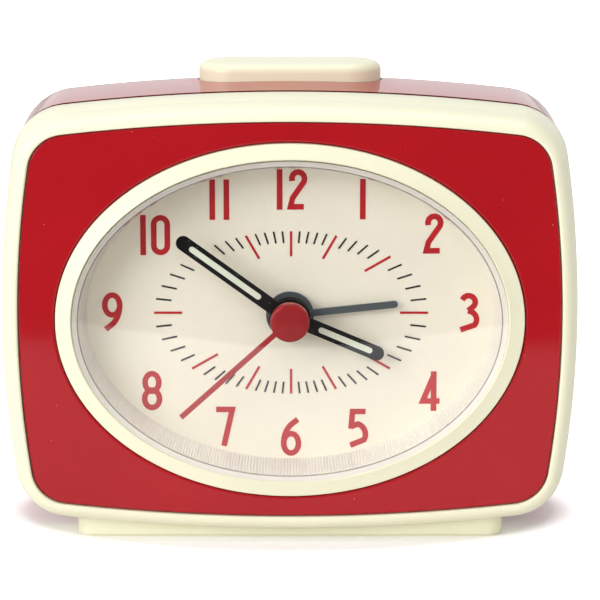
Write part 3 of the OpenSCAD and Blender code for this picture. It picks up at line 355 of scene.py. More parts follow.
# %% Tints, relief and dust
def tint(finish, value, one, other):
    """A blend of two colours, or of a colour and a socket, by a value from 0 to 1."""
    mix = add(finish, "ShaderNodeMix")
    mix.data_type = "RGBA"
    join(finish, value, mix.inputs["Factor"])
    for socket, colour in zip([s for s in mix.inputs if s.type == "RGBA"], (one, other)):
        if isinstance(colour, tuple):
            socket.default_value = colour
        else:
            join(finish, colour, socket)
    return [s for s in mix.outputs if s.type == "RGBA"][0]


def relief(finish, shader, value, depth):
    """Fine bumps of that depth on the surface."""
    bump = add(finish, "ShaderNodeBump", Distance=depth)
    join(finish, value, bump.inputs["Height"])
    join(finish, bump.outputs["Normal"], shader.inputs["Normal"])


def dust(finish, spacing, radius):
    """1 inside small scattered specks and 0 elsewhere."""
    specks = add(finish, "ShaderNodeTexVoronoi", Scale=1 / spacing)
    join(finish, on_surface(finish), specks.inputs["Vector"])
    return maths(finish, "LESS_THAN", specks.outputs["Distance"], radius / spacing)


def shaded(colour, share):
    """The same colour with less light in it."""
    return tuple(v * share for v in colour[:3]) + (1,)


print("tint, relief and dust helpers ready")

# %% [markdown]
# Moulded plastic and paint
#
# Most pieces are one colour of plastic or paint. Real ones are never quite even: the tint drifts
# over a centimetre or two, the gloss is patchy, and the skin has a very fine grain. One function
# makes them all, and the numbers say how glossy and how grainy each is. Lint shows on the glossy red,
# and the groove where the shell meets the frame gets painted shade, so the function can add both.

# %% The plastic maker
TINT_PATCH = 14 * MM
GLOSS_PATCH = 8 * MM
# share of the colour left in the groove's painted shade
GROOVE_PAINTED_SHADE = 0.3


def moulded(name, colour, drift=0.94, gloss=(0.28, 0.40), grain=0.35 * MM, depth=0.006 * MM, specks=None,
            painted_shade_until=None):
    """A finish of one colour, with specks (colour, spacing, radius) or painted shade in front of a y."""
    finish, shader = new_finish(name)
    patches = spread(finish, cloud(finish, TINT_PATCH), 0, 1)
    body = tint(finish, patches, shaded(colour, drift), colour)
    if specks:
        speck_colour, spacing, radius = specks
        body = tint(finish, dust(finish, spacing, radius), body, speck_colour)
    if painted_shade_until is not None:
        # painted shade: the strip in front of that y is darkened, standing in for the frame's shade in the
        # groove
        painted_shade_band = maths(finish, "LESS_THAN", place_along(finish, "Y"), painted_shade_until)
        body = tint(finish, painted_shade_band, body, shaded(colour, GROOVE_PAINTED_SHADE))
    join(finish, body, shader.inputs["Base Color"])
    rough = spread(finish, cloud(finish, GLOSS_PATCH, 1.0), *gloss)
    join(finish, rough, shader.inputs["Roughness"])
    if depth:
        relief(finish, shader, cloud(finish, grain), depth)
    return finish


print("plastic maker ready")

# %% The case's plastics
RED = screen(177, 22, 31)
RED_SHINE = 0.33
LINT = screen(226, 190, 186)
LINT_SPACING = 3.2 * MM
LINT_R = 0.07 * MM
# the groove's painted shade reaches just past the joint groove's back
JOINT_W = 2.45 * MM
joint_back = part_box("front_frame")[1].y + JOINT_W
glossy = {"drift": 0.93, "gloss": (0.05, 0.10), "grain": 0.6 * MM, "depth": 0.0015 * MM}
glossy["specks"] = (LINT, LINT_SPACING, LINT_R)
cream_plastic = moulded("cream_plastic", screen(247, 245, 215), 0.975, (0.29, 0.33), depth=0)
red_plastic = moulded("red_plastic", RED, **glossy)
# the shell's red carries painted shade in the groove behind the frame
shell_red = moulded("shell_red", RED, painted_shade_until=joint_back, **glossy)
for finish in (red_plastic, shell_red):
    set_shader(finish, "Specular IOR Level", RED_SHINE)
black_plastic = moulded("black_plastic", screen(34, 33, 34), 0.85, (0.35, 0.5), 0.3 * MM, 0.012 * MM)
white_plastic = moulded("white_plastic", screen(232, 230, 222), 0.95, (0.3, 0.45))
print("plastics ready")

# %% [markdown]
# The dial's inks and the hands' paints
#
# The dial is a matt card with a fine tooth, and its marks are printed, so ink is a little uneven and
# lets the card's tooth through. The hands are thin sprayed metal: satin black with a few dust specks,
# slate grey for the alarm, red for the seconds. The luminous filling is chalky.

# %% Card, ink and paint
PAINT_SHINE = 0.2
hand_dust = (screen(170, 165, 155), 1.0 * MM, 0.07 * MM)
dial_card = moulded("dial_card", screen(251, 245, 226), 0.965, (0.55, 0.7), 0.25 * MM, 0.004 * MM)
red_print = moulded("red_print", screen(196, 18, 32), 0.9, (0.4, 0.55), 0.2 * MM, 0.004 * MM)
black_print = moulded("black_print", screen(36, 33, 32), 0.8, (0.4, 0.55), 0.2 * MM, 0.004 * MM)
hand_black = moulded("hand_black", screen(14, 13, 15), 0.8, (0.3, 0.42), 0.15 * MM, 0.003 * MM, hand_dust)
hand_slate = moulded("hand_slate", screen(80, 88, 92), 0.9, (0.3, 0.42), 0.15 * MM, 0.003 * MM)
hand_red = moulded("hand_red", screen(178, 34, 40), 0.9, (0.3, 0.4), 0.15 * MM, 0.003 * MM)
cap_red = moulded("cap_red", screen(162, 38, 41), 0.9, (0.18, 0.26), 0.2 * MM, 0.002 * MM)
for finish in (hand_black, cap_red):
    set_shader(finish, "Specular IOR Level", PAINT_SHINE)
lume = moulded("lume", screen(234, 238, 218), 0.93, (0.7, 0.85), 0.18 * MM, 0.012 * MM)
print("dial and hand finishes ready")

# %% [markdown]
# Metals
#
# Inside the clock are two brass wheels, a brass buzzer, steel screws and springs, a copper winding and
# a dark magnet. All have faint turning or rolling marks, so their gloss is streaked: the noise is
# stretched, long one way and fine across.

# %% The metal maker
METAL_PATCH = 4 * MM
STREAK_L = 5 * MM
STREAK_W = 0.25 * MM
STREAK_DEPTH = 0.001 * MM


def worked_metal(name, colour, gloss, drift=0.85):
    """A metal of one colour, with streaks in its gloss."""
    finish, shader = new_finish(name)
    shader.inputs["Metallic"].default_value = 1
    patches = spread(finish, cloud(finish, METAL_PATCH), 0, 1)
    join(finish, tint(finish, patches, shaded(colour, drift), colour), shader.inputs["Base Color"])
    lengthwise = add(finish, "ShaderNodeMapping", Scale=(1 / STREAK_L, 1 / STREAK_W, 1 / STREAK_W))
    join(finish, on_surface(finish), lengthwise.inputs["Vector"])
    streaks = add(finish, "ShaderNodeTexNoise", Scale=1.0, Detail=2.0)
    join(finish, lengthwise.outputs["Vector"], streaks.inputs["Vector"])
    join(finish, spread(finish, streaks.outputs["Fac"], *gloss), shader.inputs["Roughness"])
    relief(finish, shader, streaks.outputs["Fac"], STREAK_DEPTH)
    return finish


steel = worked_metal("steel", screen(190, 192, 196), (0.22, 0.38))
brass = worked_metal("brass", screen(206, 172, 92), (0.2, 0.36))
copper = worked_metal("copper", screen(190, 108, 66), (0.25, 0.4))
magnet = worked_metal("magnet", screen(70, 70, 74), (0.45, 0.6))
print("metals ready")

# %% [markdown]
# Cell jacket, board and clear lens
#
# These finishes need their own recipe. The cell's jacket is printed film in two plain bands. The
# board is green lacquer over faint copper tracks. The lens is clear moulded acrylic, which is glass
# to the shader but with a lower index, and its gloss is very slightly uneven. Its fluted wall and its
# rim are frosted, so those are pale skins that let some of the dial through. A grey skin of painted
# shade lies along the rim's inner corner.

# %% The cell's jacket
BAND_EDGE = 14 * MM
FILM_PATCH = 6 * MM
FILM_GRAIN = 2 * MM
jacket, jacket_shader = new_finish("cell_jacket")
past_edge = maths(jacket, "GREATER_THAN", place_along(jacket, "X"), BAND_EDGE)
mottle = spread(jacket, cloud(jacket, FILM_PATCH), 0, 1)
dark_band = tint(jacket, mottle, screen(28, 28, 30), screen(38, 38, 40))
warm_band = tint(jacket, mottle, screen(176, 112, 58), screen(196, 130, 70))
join(jacket, tint(jacket, past_edge, dark_band, warm_band), jacket_shader.inputs["Base Color"])
join(jacket, spread(jacket, cloud(jacket, FILM_GRAIN), 0.2, 0.32), jacket_shader.inputs["Roughness"])
print("the jacket's bands meet at x", round(BAND_EDGE / MM, 1), "mm")

# %% The board's lacquer
TRACK_SIZE = 1.6 * MM
LACQUER_GRAIN = 1 * MM
board, board_shader = new_finish("board_green")
tracks = spread(board, cloud(board, TRACK_SIZE, 0.0), 0, 1)
lacquer = tint(board, tracks, screen(20, 74, 46), screen(34, 104, 62))
join(board, lacquer, board_shader.inputs["Base Color"])
join(board, spread(board, cloud(board, LACQUER_GRAIN), 0.25, 0.4), board_shader.inputs["Roughness"])
print("board lacquer ready")

# %% The lens's acrylic
ACRYLIC_IOR = 1.49
clear_lens, clear_shader = new_finish("clear_lens")
clear_shader.inputs["Base Color"].default_value = (1, 1, 1, 1)
clear_shader.inputs["Transmission Weight"].default_value = 1
clear_shader.inputs["IOR"].default_value = ACRYLIC_IOR
haze = spread(clear_lens, cloud(clear_lens, GLOSS_PATCH), 0.0, 0.012)
join(clear_lens, haze, clear_shader.inputs["Roughness"])


def frosted(name, colour, solid_share):
    """A see-through skin that lets the rest of the dial's light through: frosted acrylic, and also the rim
    line's grey painted shade.
    """
    finish = moulded(name, colour, 0.97, (0.3, 0.45), depth=0)
    set_shader(finish, "Alpha", solid_share)
    return finish


ribbed_acrylic = frosted("ribbed_acrylic", screen(252, 247, 240), 0.8)
rim_acrylic = frosted("rim_acrylic", screen(246, 240, 230), 0.9)
# painted shade: this grey skin stands in for the shade along the rim's inner corner
rim_line_painted_shade = frosted("rim_line_painted_shade", screen(168, 160, 152), 0.7)
print("lens finishes ready")

# %% [markdown]
# Dressing the solids
#
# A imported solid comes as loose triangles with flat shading. Its mesh must stay as it is, so a small
# geometry node group does the softening: it welds the triangles, drops the stored normals, and
# shades smoothly across every edge that bends less than a set angle. A narrow bevel after it rounds
# the sharp edges, as a mould does.

# %% The softening group
SMOOTH_BELOW = math.radians(32)
WELD = 0.001 * MM
softening = bpy.data.node_groups.new("softening", "GeometryNodeTree")
softening.is_modifier = True
for way in ("INPUT", "OUTPUT"):
    softening.interface.new_socket("Geometry", in_out=way, socket_type="NodeSocketGeometry")
weld = add(softening, "GeometryNodeMergeByDistance", Distance=WELD)
drop = add(softening, "GeometryNodeRemoveAttribute", Name="custom_normal")
smooth_faces = add(softening, "GeometryNodeSetShadeSmooth", Shade_Smooth=True)
sharp_edges = add(softening, "GeometryNodeSetShadeSmooth", Shade_Smooth=False)
sharp_edges.domain = "EDGE"
angle = add(softening, "GeometryNodeInputMeshEdgeAngle")
steep = add(softening, "FunctionNodeCompare", B=SMOOTH_BELOW)
steep.operation = "GREATER_THAN"
join(softening, angle.outputs["Unsigned Angle"], steep.inputs["A"])
join(softening, steep.outputs["Result"], sharp_edges.inputs["Selection"])
first, last = add(softening, "NodeGroupInput"), add(softening, "NodeGroupOutput")
chain = [first, weld, drop, smooth_faces, sharp_edges, last]
for before, after in zip(chain, chain[1:]):
    join(softening, before.outputs["Geometry"], after.inputs["Geometry"])
print("softening passes through", len(chain), "nodes")

# %% The dressing helper
BEVEL_STEPS = 2


def dress(names, finish, edge=0):
    """Give solids a finish, soft shading and, where asked, rounded edges of that width."""
    for name in names:
        solid = nodes[name]
        for slot in solid.material_slots:
            slot.material = finish
        solid.modifiers.new("softening", "NODES").node_group = softening
        if edge:
            bevel = solid.modifiers.new("edge", "BEVEL")
            bevel.width = edge
            bevel.segments = BEVEL_STEPS
            bevel.limit_method = "ANGLE"
            bevel.angle_limit = SMOOTH_BELOW
            bevel.harden_normals = True
    print(finish.name, "on", len(names), "solids")


print("dressing helper ready")

# %% [markdown]
# Finishes for the solids that stay
#
# The shapes of these pieces are right as they are. Most mouldings, the hands and the screws get narrow
# rounded edges. The printed marks, the wheels and a few others get only their finish.

# %% Dress the case, the dial and the hands
dress(["rear_shell"], shell_red)
dress(["back_cover", "battery_door"], red_plastic, edge=0.12 * MM)
dress(["base_foot"], cream_plastic, edge=0.25 * MM)
dress(["dial"], dial_card)
dress(["minute_marks"], black_print)
dress(["hour_marks", "hour_numerals"], red_print)
dress(["hour_hand", "minute_hand"], hand_black, edge=0.06 * MM)
dress(["hour_hand_lume", "minute_hand_lume"], lume)
dress(["alarm_hand"], hand_slate, edge=0.06 * MM)
dress(["second_hand"], hand_red, edge=0.06 * MM)
dress(["second_hand_cap"], cap_red, edge=0.1 * MM)

# %% Dress the controls, the power parts and the movement
dress(["snooze_switch", "clock_chip", "coil_bobbin"], black_plastic, edge=0.1 * MM)
dress(["time_knob", "alarm_knob", "alarm_switch"], black_plastic, edge=0.12 * MM)
dress(["movement_plate", "movement_mid_plate", "movement_cover"], white_plastic, edge=0.1 * MM)
dress(["third_wheel", "intermediate_wheel", "minute_wheel"], white_plastic)
dress(["hour_wheel", "alarm_wheel", "alarm_stem"], white_plastic)
dress(["second_wheel", "centre_wheel", "buzzer"], brass)
dress(["case_screws", "movement_screws", "battery_plate", "quartz_crystal"], steel, edge=0.05 * MM)
dress(["battery_spring", "stator", "cannon_pinion"], steel)
dress(["battery"], jacket, edge=0.2 * MM)
dress(["circuit_board"], board)
dress(["coil_winding"], copper)
dress(["rotor"], magnet)

# %% [markdown]
# The case outline
#
# The frame, the panel and the gaps between them all follow one outline: long shallow arcs along the
# sides, the top and the bottom, joined by tighter corner arcs. The corner arc must touch both long
# arcs, which places its middle where two circles cross. Drawing the outline once, with an inset,
# gives every ring of those pieces.

# %% Draw the case outline
SIDE_ARC = 190 * MM
TOP_ARC = 368 * MM
CORNER_ARC = 10.7 * MM
LEAST_CORNER = 5 * MM
SIDE_STEPS, CORNER_STEPS, TOP_STEPS = 14, 22, 22
frame_low, frame_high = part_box("front_frame")
half_w = (frame_high.x - frame_low.x) / 2
half_h = (frame_high.z - frame_low.z) / 2


def arc(middle, radius, start, end, steps):
    """Points along an arc, without its last one."""
    turns = [start + (end - start) * i / steps for i in range(steps)]
    return [middle + radius * Vector((math.cos(a), math.sin(a))) for a in turns]


def case_outline(inset):
    """The case's outline seen from the front, drawn in by the inset."""
    side_r, top_r = SIDE_ARC - inset, TOP_ARC - inset
    corner_r = max(CORNER_ARC - inset, LEAST_CORNER)
    side_mid = Vector((half_w - inset - side_r, 0))
    top_mid = Vector((0, half_h - inset - top_r))
    span = (top_mid - side_mid).length
    along = (top_mid - side_mid) / span
    reach = ((side_r - corner_r) ** 2 - (top_r - corner_r) ** 2 + span ** 2) / (2 * span)
    off = math.sqrt((side_r - corner_r) ** 2 - reach ** 2)
    corner = side_mid + reach * along + off * Vector((-along.y, along.x))
    to_side, to_top = corner - side_mid, corner - top_mid
    side_turn, top_turn = math.atan2(to_side.y, to_side.x), math.atan2(to_top.y, to_top.x)
    quarter = arc(side_mid, side_r, 0, side_turn, SIDE_STEPS)
    quarter += arc(corner, corner_r, side_turn, top_turn, CORNER_STEPS)
    quarter += arc(top_mid, top_r, top_turn, math.pi / 2, TOP_STEPS)
    mirrored = [Vector((-p.x, p.y)) for p in quarter[:0:-1]]
    half = quarter + [Vector((0, half_h - inset))] + mirrored
    return half + [-p for p in half]


print("outline points:", len(case_outline(0)))

# %% [markdown]
# Pieces made of rings
#
# The frame, the panel, the bezel, the lens, the snooze bar and its springs are all skins through a row
# of rings, so one helper makes them. It shades smoothly except across edges that bend sharply, and
# puts the piece on its body.


# %% The ring skinner
def skin(name, rows_of_rings, finish, body, closed=True):
    """A piece through rows of rings. An open row gets a cap at each end."""
    shell = bmesh.new()
    for rings in rows_of_rings:
        rows = [[shell.verts.new(point) for point in ring] for ring in rings]
        for row, below in zip(rows, rows[1:] + rows[:1] if closed else rows[1:]):
            for i, corner in enumerate(row):
                j = (i + 1) % len(row)
                shell.faces.new((corner, row[j], below[j], below[i]))
        if not closed:
            shell.faces.new(rows[0])
            shell.faces.new(rows[-1])
    bmesh.ops.recalc_face_normals(shell, faces=shell.faces)
    for face in shell.faces:
        face.smooth = True
    for edge in shell.edges:
        edge.smooth = edge.calc_face_angle(0) < SMOOTH_BELOW
    mesh = bpy.data.meshes.new(name)
    shell.to_mesh(mesh)
    shell.free()
    mesh.materials.append(finish)
    piece = bpy.data.objects.new(name, mesh)
    bpy.context.scene.collection.objects.link(piece)
    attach(piece, body)
    print(name, "has", len(mesh.polygons), "faces")
    return piece


def stand_for(node):
    """The piece takes that solid's place: the solid is hidden."""
    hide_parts(node)


print("ring skinner ready")


# %% Roundings and rings of the case
def rounded(radius, steps=6):
    """A rounded edge as (in, back) pairs, from where it leaves the front to where it meets the side."""
    turns = [math.pi / 2 * i / steps for i in range(steps + 1)]
    return [(radius * (1 - math.sin(a)), radius * (1 - math.cos(a))) for a in turns]


def case_rings(sections):
    """Rings of the case outline from (inset, depth) pairs."""
    return [[on_face(p.x, p.y, depth) for p in case_outline(inset)] for inset, depth in sections]


print("rounding and ring helpers ready")

# %% [markdown]
# The cream frame
#
# The frame is one moulding, like a shallow picture frame: a narrow face with a deep rounding on the
# outside that ends in a faint crease, sides that flare out a little towards the back, a crisp small
# rounding on the inside, and a ledge behind that the panel rests on. It could be a bevelled extrusion,
# but its bulged outline needs the same inset all round, so it is a closed loop of rings instead.

# %% Make the frame
FACE_W = 3.7 * MM
FRONT_ROUND = 2.6 * MM
FRONT_ROUND_DEPTH = 5.8 * MM
FLARE = 0.55 * MM
CREASE = 0.07 * MM
CREASE_W = 0.35 * MM
INNER_ROUND = 0.35 * MM
REAR_ROUND = 0.3 * MM
FRONT_STEPS, INNER_STEPS, REAR_STEPS = 12, 4, 3
WALL = 2 * MM
LEDGE_W = 1.85 * MM
LEDGE_T = 2 * MM
PANEL_FACE = 0.5 * MM
PANEL_T = 2 * MM
PANEL_BACK = PANEL_FACE + PANEL_T
LEDGE_IN = FACE_W + LEDGE_W
LEDGE_BACK = PANEL_BACK + LEDGE_T
frame_depth = frame_high.y - frame_low.y

stretch = FRONT_ROUND_DEPTH / FRONT_ROUND
outside = [(FLARE + i, d * stretch) for i, d in rounded(FRONT_ROUND, FRONT_STEPS)]
outside += [(FLARE + CREASE, FRONT_ROUND_DEPTH + CREASE_W)]
outside += [(FLARE - CREASE, FRONT_ROUND_DEPTH + 2 * CREASE_W)]
rear = [(i, frame_depth - d) for i, d in reversed(rounded(REAR_ROUND, REAR_STEPS))]
inside = [(FACE_W - i, d) for i, d in reversed(rounded(INNER_ROUND, INNER_STEPS))]
ledge = [(WALL, frame_depth), (WALL, LEDGE_BACK), (LEDGE_IN, LEDGE_BACK), (LEDGE_IN, PANEL_BACK)]
frame_sections = outside + rear + ledge + [(FACE_W, PANEL_BACK)] + inside
cream_frame = skin("cream_frame", [case_rings(frame_sections)], cream_plastic, "case")
stand_for("front_frame")

# %% [markdown]
# The red panel
#
# The panel drops into the frame with a hair of air all round, and its edges are softly rounded, which
# gives the dark line and the thin highlight beside the frame. One more ring just inside the rounding
# keeps the shading of the wide face flat, so it mirrors straight. Round the bezel it dips into a fine
# groove with the same rounding. Its outside is the case outline and its hole is an oval, so each
# point of the oval is taken in the direction of the outline's point. Four tubes on its back take the
# case screws.

# %% Ovals on the face
OVAL_POINTS = 240
bezel_low, bezel_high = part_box("dial_bezel")
oval_a = (bezel_high.x - bezel_low.x) / 2
oval_b = (bezel_high.z - bezel_low.z) / 2


def even_turns(count):
    """Angles evenly round a full turn."""
    return [math.tau * i / count for i in range(count)]


all_round = even_turns(OVAL_POINTS)


def oval_ring(a, b, depth, turns=all_round):
    """A ring on the face along an oval of those half widths."""
    return [on_face(a * math.cos(t), b * math.sin(t), depth) for t in turns]


print("bezel oval in mm:", round(2 * oval_a / MM, 2), round(2 * oval_b / MM, 2))

# %% Make the panel
AIR = 0.2 * MM
PANEL_ROUND = 0.35 * MM
FLAT_FROM = 0.1 * MM
GROOVE_W = 0.25 * MM
GROOVE_D = 0.9 * MM
GROOVE_BACK = PANEL_FACE + GROOVE_D
HOLE_IN = 1.75 * MM
BOSS_R = 3.05 * MM
BOSS_BORE = 1.2 * MM
BOSS_END = 12 * MM
BOSS_X, BOSS_UP = 35 * MM, 23.5 * MM
BOSS_SIDES = 32
outline_turns = [math.atan2(p.y / oval_b, p.x / oval_a) for p in case_outline(FACE_W)]

edge_in = FACE_W + AIR
panel_rim = [(edge_in, PANEL_BACK)]
panel_rim += [(edge_in + i, PANEL_FACE + d) for i, d in reversed(rounded(PANEL_ROUND))]
panel_rim += [(edge_in + PANEL_ROUND + FLAT_FROM, PANEL_FACE)]
panel_rings = case_rings(panel_rim)
lip = [(GROOVE_W + PANEL_ROUND + FLAT_FROM, PANEL_FACE)]
lip += [(GROOVE_W + i, PANEL_FACE + d) for i, d in rounded(PANEL_ROUND)]
for out, depth in lip + [(GROOVE_W, GROOVE_BACK), (-HOLE_IN, GROOVE_BACK), (-HOLE_IN, PANEL_BACK)]:
    panel_rings.append(oval_ring(oval_a + out, oval_b + out, depth, outline_turns))


def tube(x, up, outer, bore, start, end):
    """Rings of a tube that stands square to the face."""
    return [[on_face(x + r * math.cos(t), up + r * math.sin(t), depth) for t in even_turns(BOSS_SIDES)]
            for r, depth in ((outer, start), (outer, end), (bore, end), (bore, start))]


bosses = [tube(x, up, BOSS_R, BOSS_BORE, PANEL_BACK - AIR, BOSS_END)
          for x in (-BOSS_X, BOSS_X) for up in (-BOSS_UP, BOSS_UP)]
red_panel = skin("red_panel", [panel_rings] + bosses, red_plastic, "case")
stand_for("front_panel")

# %% [markdown]
# The bezel
#
# The bezel is a cream oval ring whose flat face slopes from the panel up to the lens, with small
# rounded edges, and a spigot that passes through the panel to hold the lens. The ring follows the
# oval with an even inset, so an oval's two half widths each lose the same amount.

# %% Make the bezel
BEZEL_BAND = 2.95 * MM
SPIGOT_T = 1.05 * MM
RIM_H = 0.35 * MM
EDGE_R = 0.25 * MM
EDGE_STEPS = 4
bezel_crest = bezel_low.y - face_front
spigot_end = bezel_high.y - face_front

face_drop = PANEL_FACE - RIM_H - bezel_crest
bezel_sections = [(i, bezel_crest + face_drop + d) for i, d in reversed(rounded(EDGE_R, EDGE_STEPS))]
bezel_sections += [(BEZEL_BAND - i, bezel_crest + d) for i, d in rounded(EDGE_R, EDGE_STEPS)]
bezel_sections += [(BEZEL_BAND, spigot_end), (BEZEL_BAND - SPIGOT_T, spigot_end)]
bezel_sections += [(BEZEL_BAND - SPIGOT_T, GROOVE_BACK), (0, GROOVE_BACK)]
bezel_rings = [oval_ring(oval_a - i, oval_b - i, d) for i, d in bezel_sections]
cream_bezel = skin("cream_bezel", [bezel_rings], cream_plastic, "case")
stand_for("dial_bezel")

# %% [markdown]
# The lens
#
# The lens is a clear moulding: a low polished dome, an upright side wall, and a foot that is trapped
# under the bezel. The wall is finely fluted and frosted, which makes the pale ribbed ring round the
# dial. The surfaces need different finishes, so the moulding is made as a clear dome and a ribbed wall
# that meet just under the dome's edge, with two thin skins at its rim. Lamps shine straight through
# them all, or their shadow would hide the dial.

# %% Make the dome
LENS_T = 1.3 * MM
LENS_DRAFT = 1.0 * MM
LENS_RISE = 2.5 * MM
FOOT_W = 1.0 * MM
FOOT_T = 1.15 * MM
EDGE_T = 0.6 * MM
DOME_RINGS = 22
FIRST_STEP = 0.3
DOME_POWER = 4
lens_low, lens_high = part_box("lens")
lens_a = (lens_high.x - lens_low.x) / 2 - FOOT_W
lens_b = (lens_high.z - lens_low.z) / 2 - FOOT_W
lens_foot = lens_high.y - face_front
lens_rim = lens_low.y - face_front + LENS_RISE


def dome_rings(inset, depth):
    """Rings of a dome that is flat in its middle and bends near its edge, from the middle out."""
    rings = []
    for i in range(DOME_RINGS):
        share = math.sin(math.pi / 2 * (i + FIRST_STEP) / (DOME_RINGS + FIRST_STEP))
        rise = LENS_RISE * (1 - share ** DOME_POWER)
        rings.append(oval_ring(share * (lens_a - inset), share * (lens_b - inset), depth - rise))
    return rings


dome_edge = [oval_ring(lens_a, lens_b, lens_rim + d) for d in (EDGE_T / 2, EDGE_T)]
dome_inside = list(reversed(dome_rings(LENS_T, lens_rim + LENS_T)))
clear_dome = skin("clear_dome", [dome_rings(0, lens_rim) + dome_edge + dome_inside], clear_lens, "case",
                  closed=False)
clear_dome.visible_shadow = False
stand_for("lens")

# %% [markdown]
# The flutes are modelled: every second point of the wall's inner rings steps outwards a little. The
# front of the wall leans in under the dome's edge and carries the flutes too.

# %% Make the ribbed wall
FLUTES = 420
FLUTE_DEPTH = 0.16 * MM
MEET = 0.05 * MM
wall_top = lens_rim + LENS_T + MEET


def fluted_ring(inset, depth, cut, dip=0):
    """A ring of the wall, with every second point cut outwards and set back."""
    ring = []
    for i, t in enumerate(even_turns(2 * FLUTES)):
        draw = inset - cut * (i % 2)
        back = depth + dip * (i % 2)
        ring.append(on_face((lens_a - draw) * math.cos(t), (lens_b - draw) * math.sin(t), back))
    return ring


wall_rings = [fluted_ring(0, lens_rim + EDGE_T + MEET, 0), fluted_ring(0, lens_foot - FOOT_T, 0)]
wall_rings += [fluted_ring(-FOOT_W, lens_foot - FOOT_T, 0), fluted_ring(-FOOT_W, lens_foot, 0)]
wall_rings += [fluted_ring(LENS_T + LENS_DRAFT, lens_foot, FLUTE_DEPTH)]
wall_rings += [fluted_ring(LENS_T, wall_top, FLUTE_DEPTH, FLUTE_DEPTH)]
ribbed_wall = skin("ribbed_wall", [wall_rings], ribbed_acrylic, "case")

# %% [markdown]
# Seen from the front, the moulding's own thickness shows under the dome's edge as a pale band with a
# fine grey line of shade along its inner corner. A thin skin lies there for the band, and a grey skin
# of painted shade for the line.

# %% Make the rim's band and line
LINE_W = 0.3 * MM
SKIN_T = 0.03 * MM
SKIN_LIFT = 0.09 * MM


def rim_skin(name, start, end, finish):
    """A thin ring that lies on the wall's sloping front, between two insets."""
    slope = (wall_top - lens_rim - EDGE_T) / LENS_T
    top = SKIN_LIFT + SKIN_T
    corners = ((start, SKIN_LIFT), (end, SKIN_LIFT), (end, top), (start, top))
    rings = [oval_ring(lens_a - i, lens_b - i, lens_rim + EDGE_T + slope * i - lift) for i, lift in corners]
    return skin(name, [rings], finish, "case")


rim_band = rim_skin("rim_band", SKIN_T, LENS_T - LINE_W, rim_acrylic)
# the rim line is painted shade, not a colour of the acrylic
rim_line = rim_skin("rim_line", LENS_T - LINE_W + SKIN_T, LENS_T, rim_line_painted_shade)
for piece in (ribbed_wall, rim_band, rim_line):
    piece.visible_shadow = False
    stand_for("lens")

# %% [markdown]
# The snooze bar
#
# The bar on top is a long rounded button in the frame's cream. Its top is very slightly domed and its
# upper edge well rounded. Under the case's top it has a flange that stops it from coming out, and it is
# hollow inside, with posts for the springs and the switch.

# %% The bar's outline
BAR_FLANGE = 1.2 * MM
END_STEPS = 24
bar_low, bar_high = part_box("snooze_button")
bar_r = (bar_high.y - bar_low.y) / 2 - BAR_FLANGE
bar_reach = (bar_high.x - bar_low.x) / 2 - BAR_FLANGE - bar_r
bar_mid = (bar_high.y + bar_low.y) / 2


def bar_ring(inset, z):
    """The bar's long round outline in plan, drawn in by the inset."""
    ring = []
    for end, start in ((1, -math.pi / 2), (-1, math.pi / 2)):
        for i in range(END_STEPS + 1):
            t = start + math.pi * i / END_STEPS
            x = end * bar_reach + (bar_r - inset) * math.cos(t)
            ring.append(Vector((x, bar_mid + (bar_r - inset) * math.sin(t), z)))
    return ring


print("bar in mm:", round(2 * (bar_reach + bar_r) / MM, 2), "long,", round(2 * bar_r / MM, 2), "wide")

# %% Make the snooze bar
BAR_FLANGE_T = 1.1 * MM
BAR_ROUND = 1.7 * MM
BAR_ROUND_STEPS = 8
BAR_DOME = 0.35 * MM
BAR_WALL = 1.6 * MM
CROWN_SHARES = (0.98, 0.85, 0.7, 0.55, 0.42)
POST_R = 2.7 * MM
POST_X = 12 * MM
POST_AIR = 0.1 * MM
POST_SIDES = 24
shoulder = bar_high.z - BAR_DOME
flange_top = bar_low.z + BAR_FLANGE_T
roof = shoulder - BAR_WALL


def crown_height(share):
    """How high the bar's top is, that share of the way in from its side."""
    return shoulder + BAR_DOME * (1 - ((1 - share) / (1 - BAR_ROUND / bar_r)) ** 2)


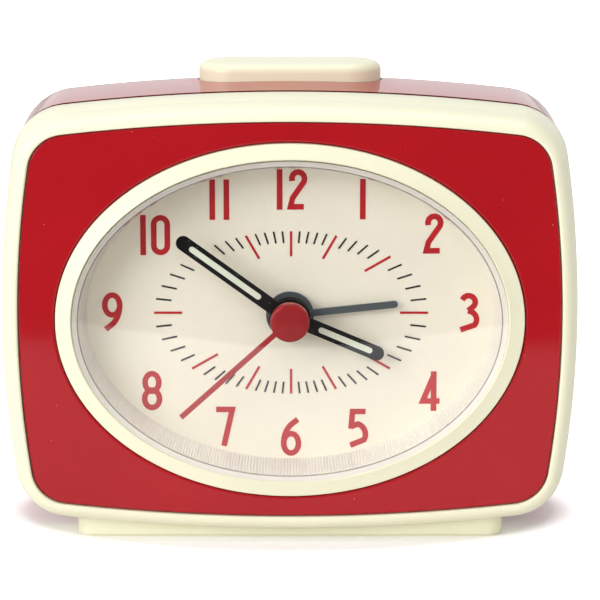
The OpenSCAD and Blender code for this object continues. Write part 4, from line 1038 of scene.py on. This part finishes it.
def post(x):
    """Rings of a round post under the bar's roof."""
    plan = [(x + POST_R * math.cos(t), bar_mid + POST_R * math.sin(t)) for t in even_turns(POST_SIDES)]
    return [[Vector((*p, z)) for p in plan] for z in (bar_low.z + POST_AIR, roof + BAR_WALL / 2)]


bar_top = [(bar_r * share, crown_height(share)) for share in CROWN_SHARES]
bar_top += [(i, shoulder - d) for i, d in rounded(BAR_ROUND, BAR_ROUND_STEPS)]
bar_skirt = [(0, flange_top), (-BAR_FLANGE, flange_top), (-BAR_FLANGE, bar_low.z)]
bar_hollow = [(BAR_WALL, bar_low.z), (BAR_WALL, roof)]
bar_rings = [bar_ring(i, z) for i, z in bar_top + bar_skirt + bar_hollow]
posts = [post(x) for x in (-POST_X, 0, POST_X)]
snooze_bar = skin("snooze_bar", [bar_rings] + posts, cream_plastic, "snooze", closed=False)
stand_for("snooze_button")

# %% [markdown]
# The springs under the bar
#
# Two small coil springs push the bar back up. A rigid solid can't shorten, so the posts would cut
# into it when the bar goes down.

# %% Wind the springs
SPRING_TURNS = 5
WIRE_R = 0.3 * MM
RINGS_PER_TURN = 24
WIRE_SIDES = 8
UPWARDS = Vector((0, 0, 1))
springs_low, springs_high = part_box("snooze_springs")
spring_l = springs_high.z - springs_low.z
spring_r = (springs_high.x - springs_low.x) / 2 - POST_X - WIRE_R


def spring_rings(x):
    """Rings of wire along a helix round an upright axis at that x."""
    steps = SPRING_TURNS * RINGS_PER_TURN
    rings = []
    for i in range(steps + 1):
        t = math.tau * i / RINGS_PER_TURN
        outwards = Vector((math.cos(t), math.sin(t), 0))
        z = springs_low.z + WIRE_R + (spring_l - 2 * WIRE_R) * i / steps
        middle = Vector((x, bar_mid, z)) + spring_r * outwards
        rings.append([middle + WIRE_R * (math.cos(a) * outwards + math.sin(a) * UPWARDS)
                      for a in even_turns(WIRE_SIDES)])
    return rings


wire_springs = skin("wire_springs", [spring_rings(x) for x in (-POST_X, POST_X)], steel, "case", closed=False)
stand_for("snooze_springs")
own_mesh(wire_springs)
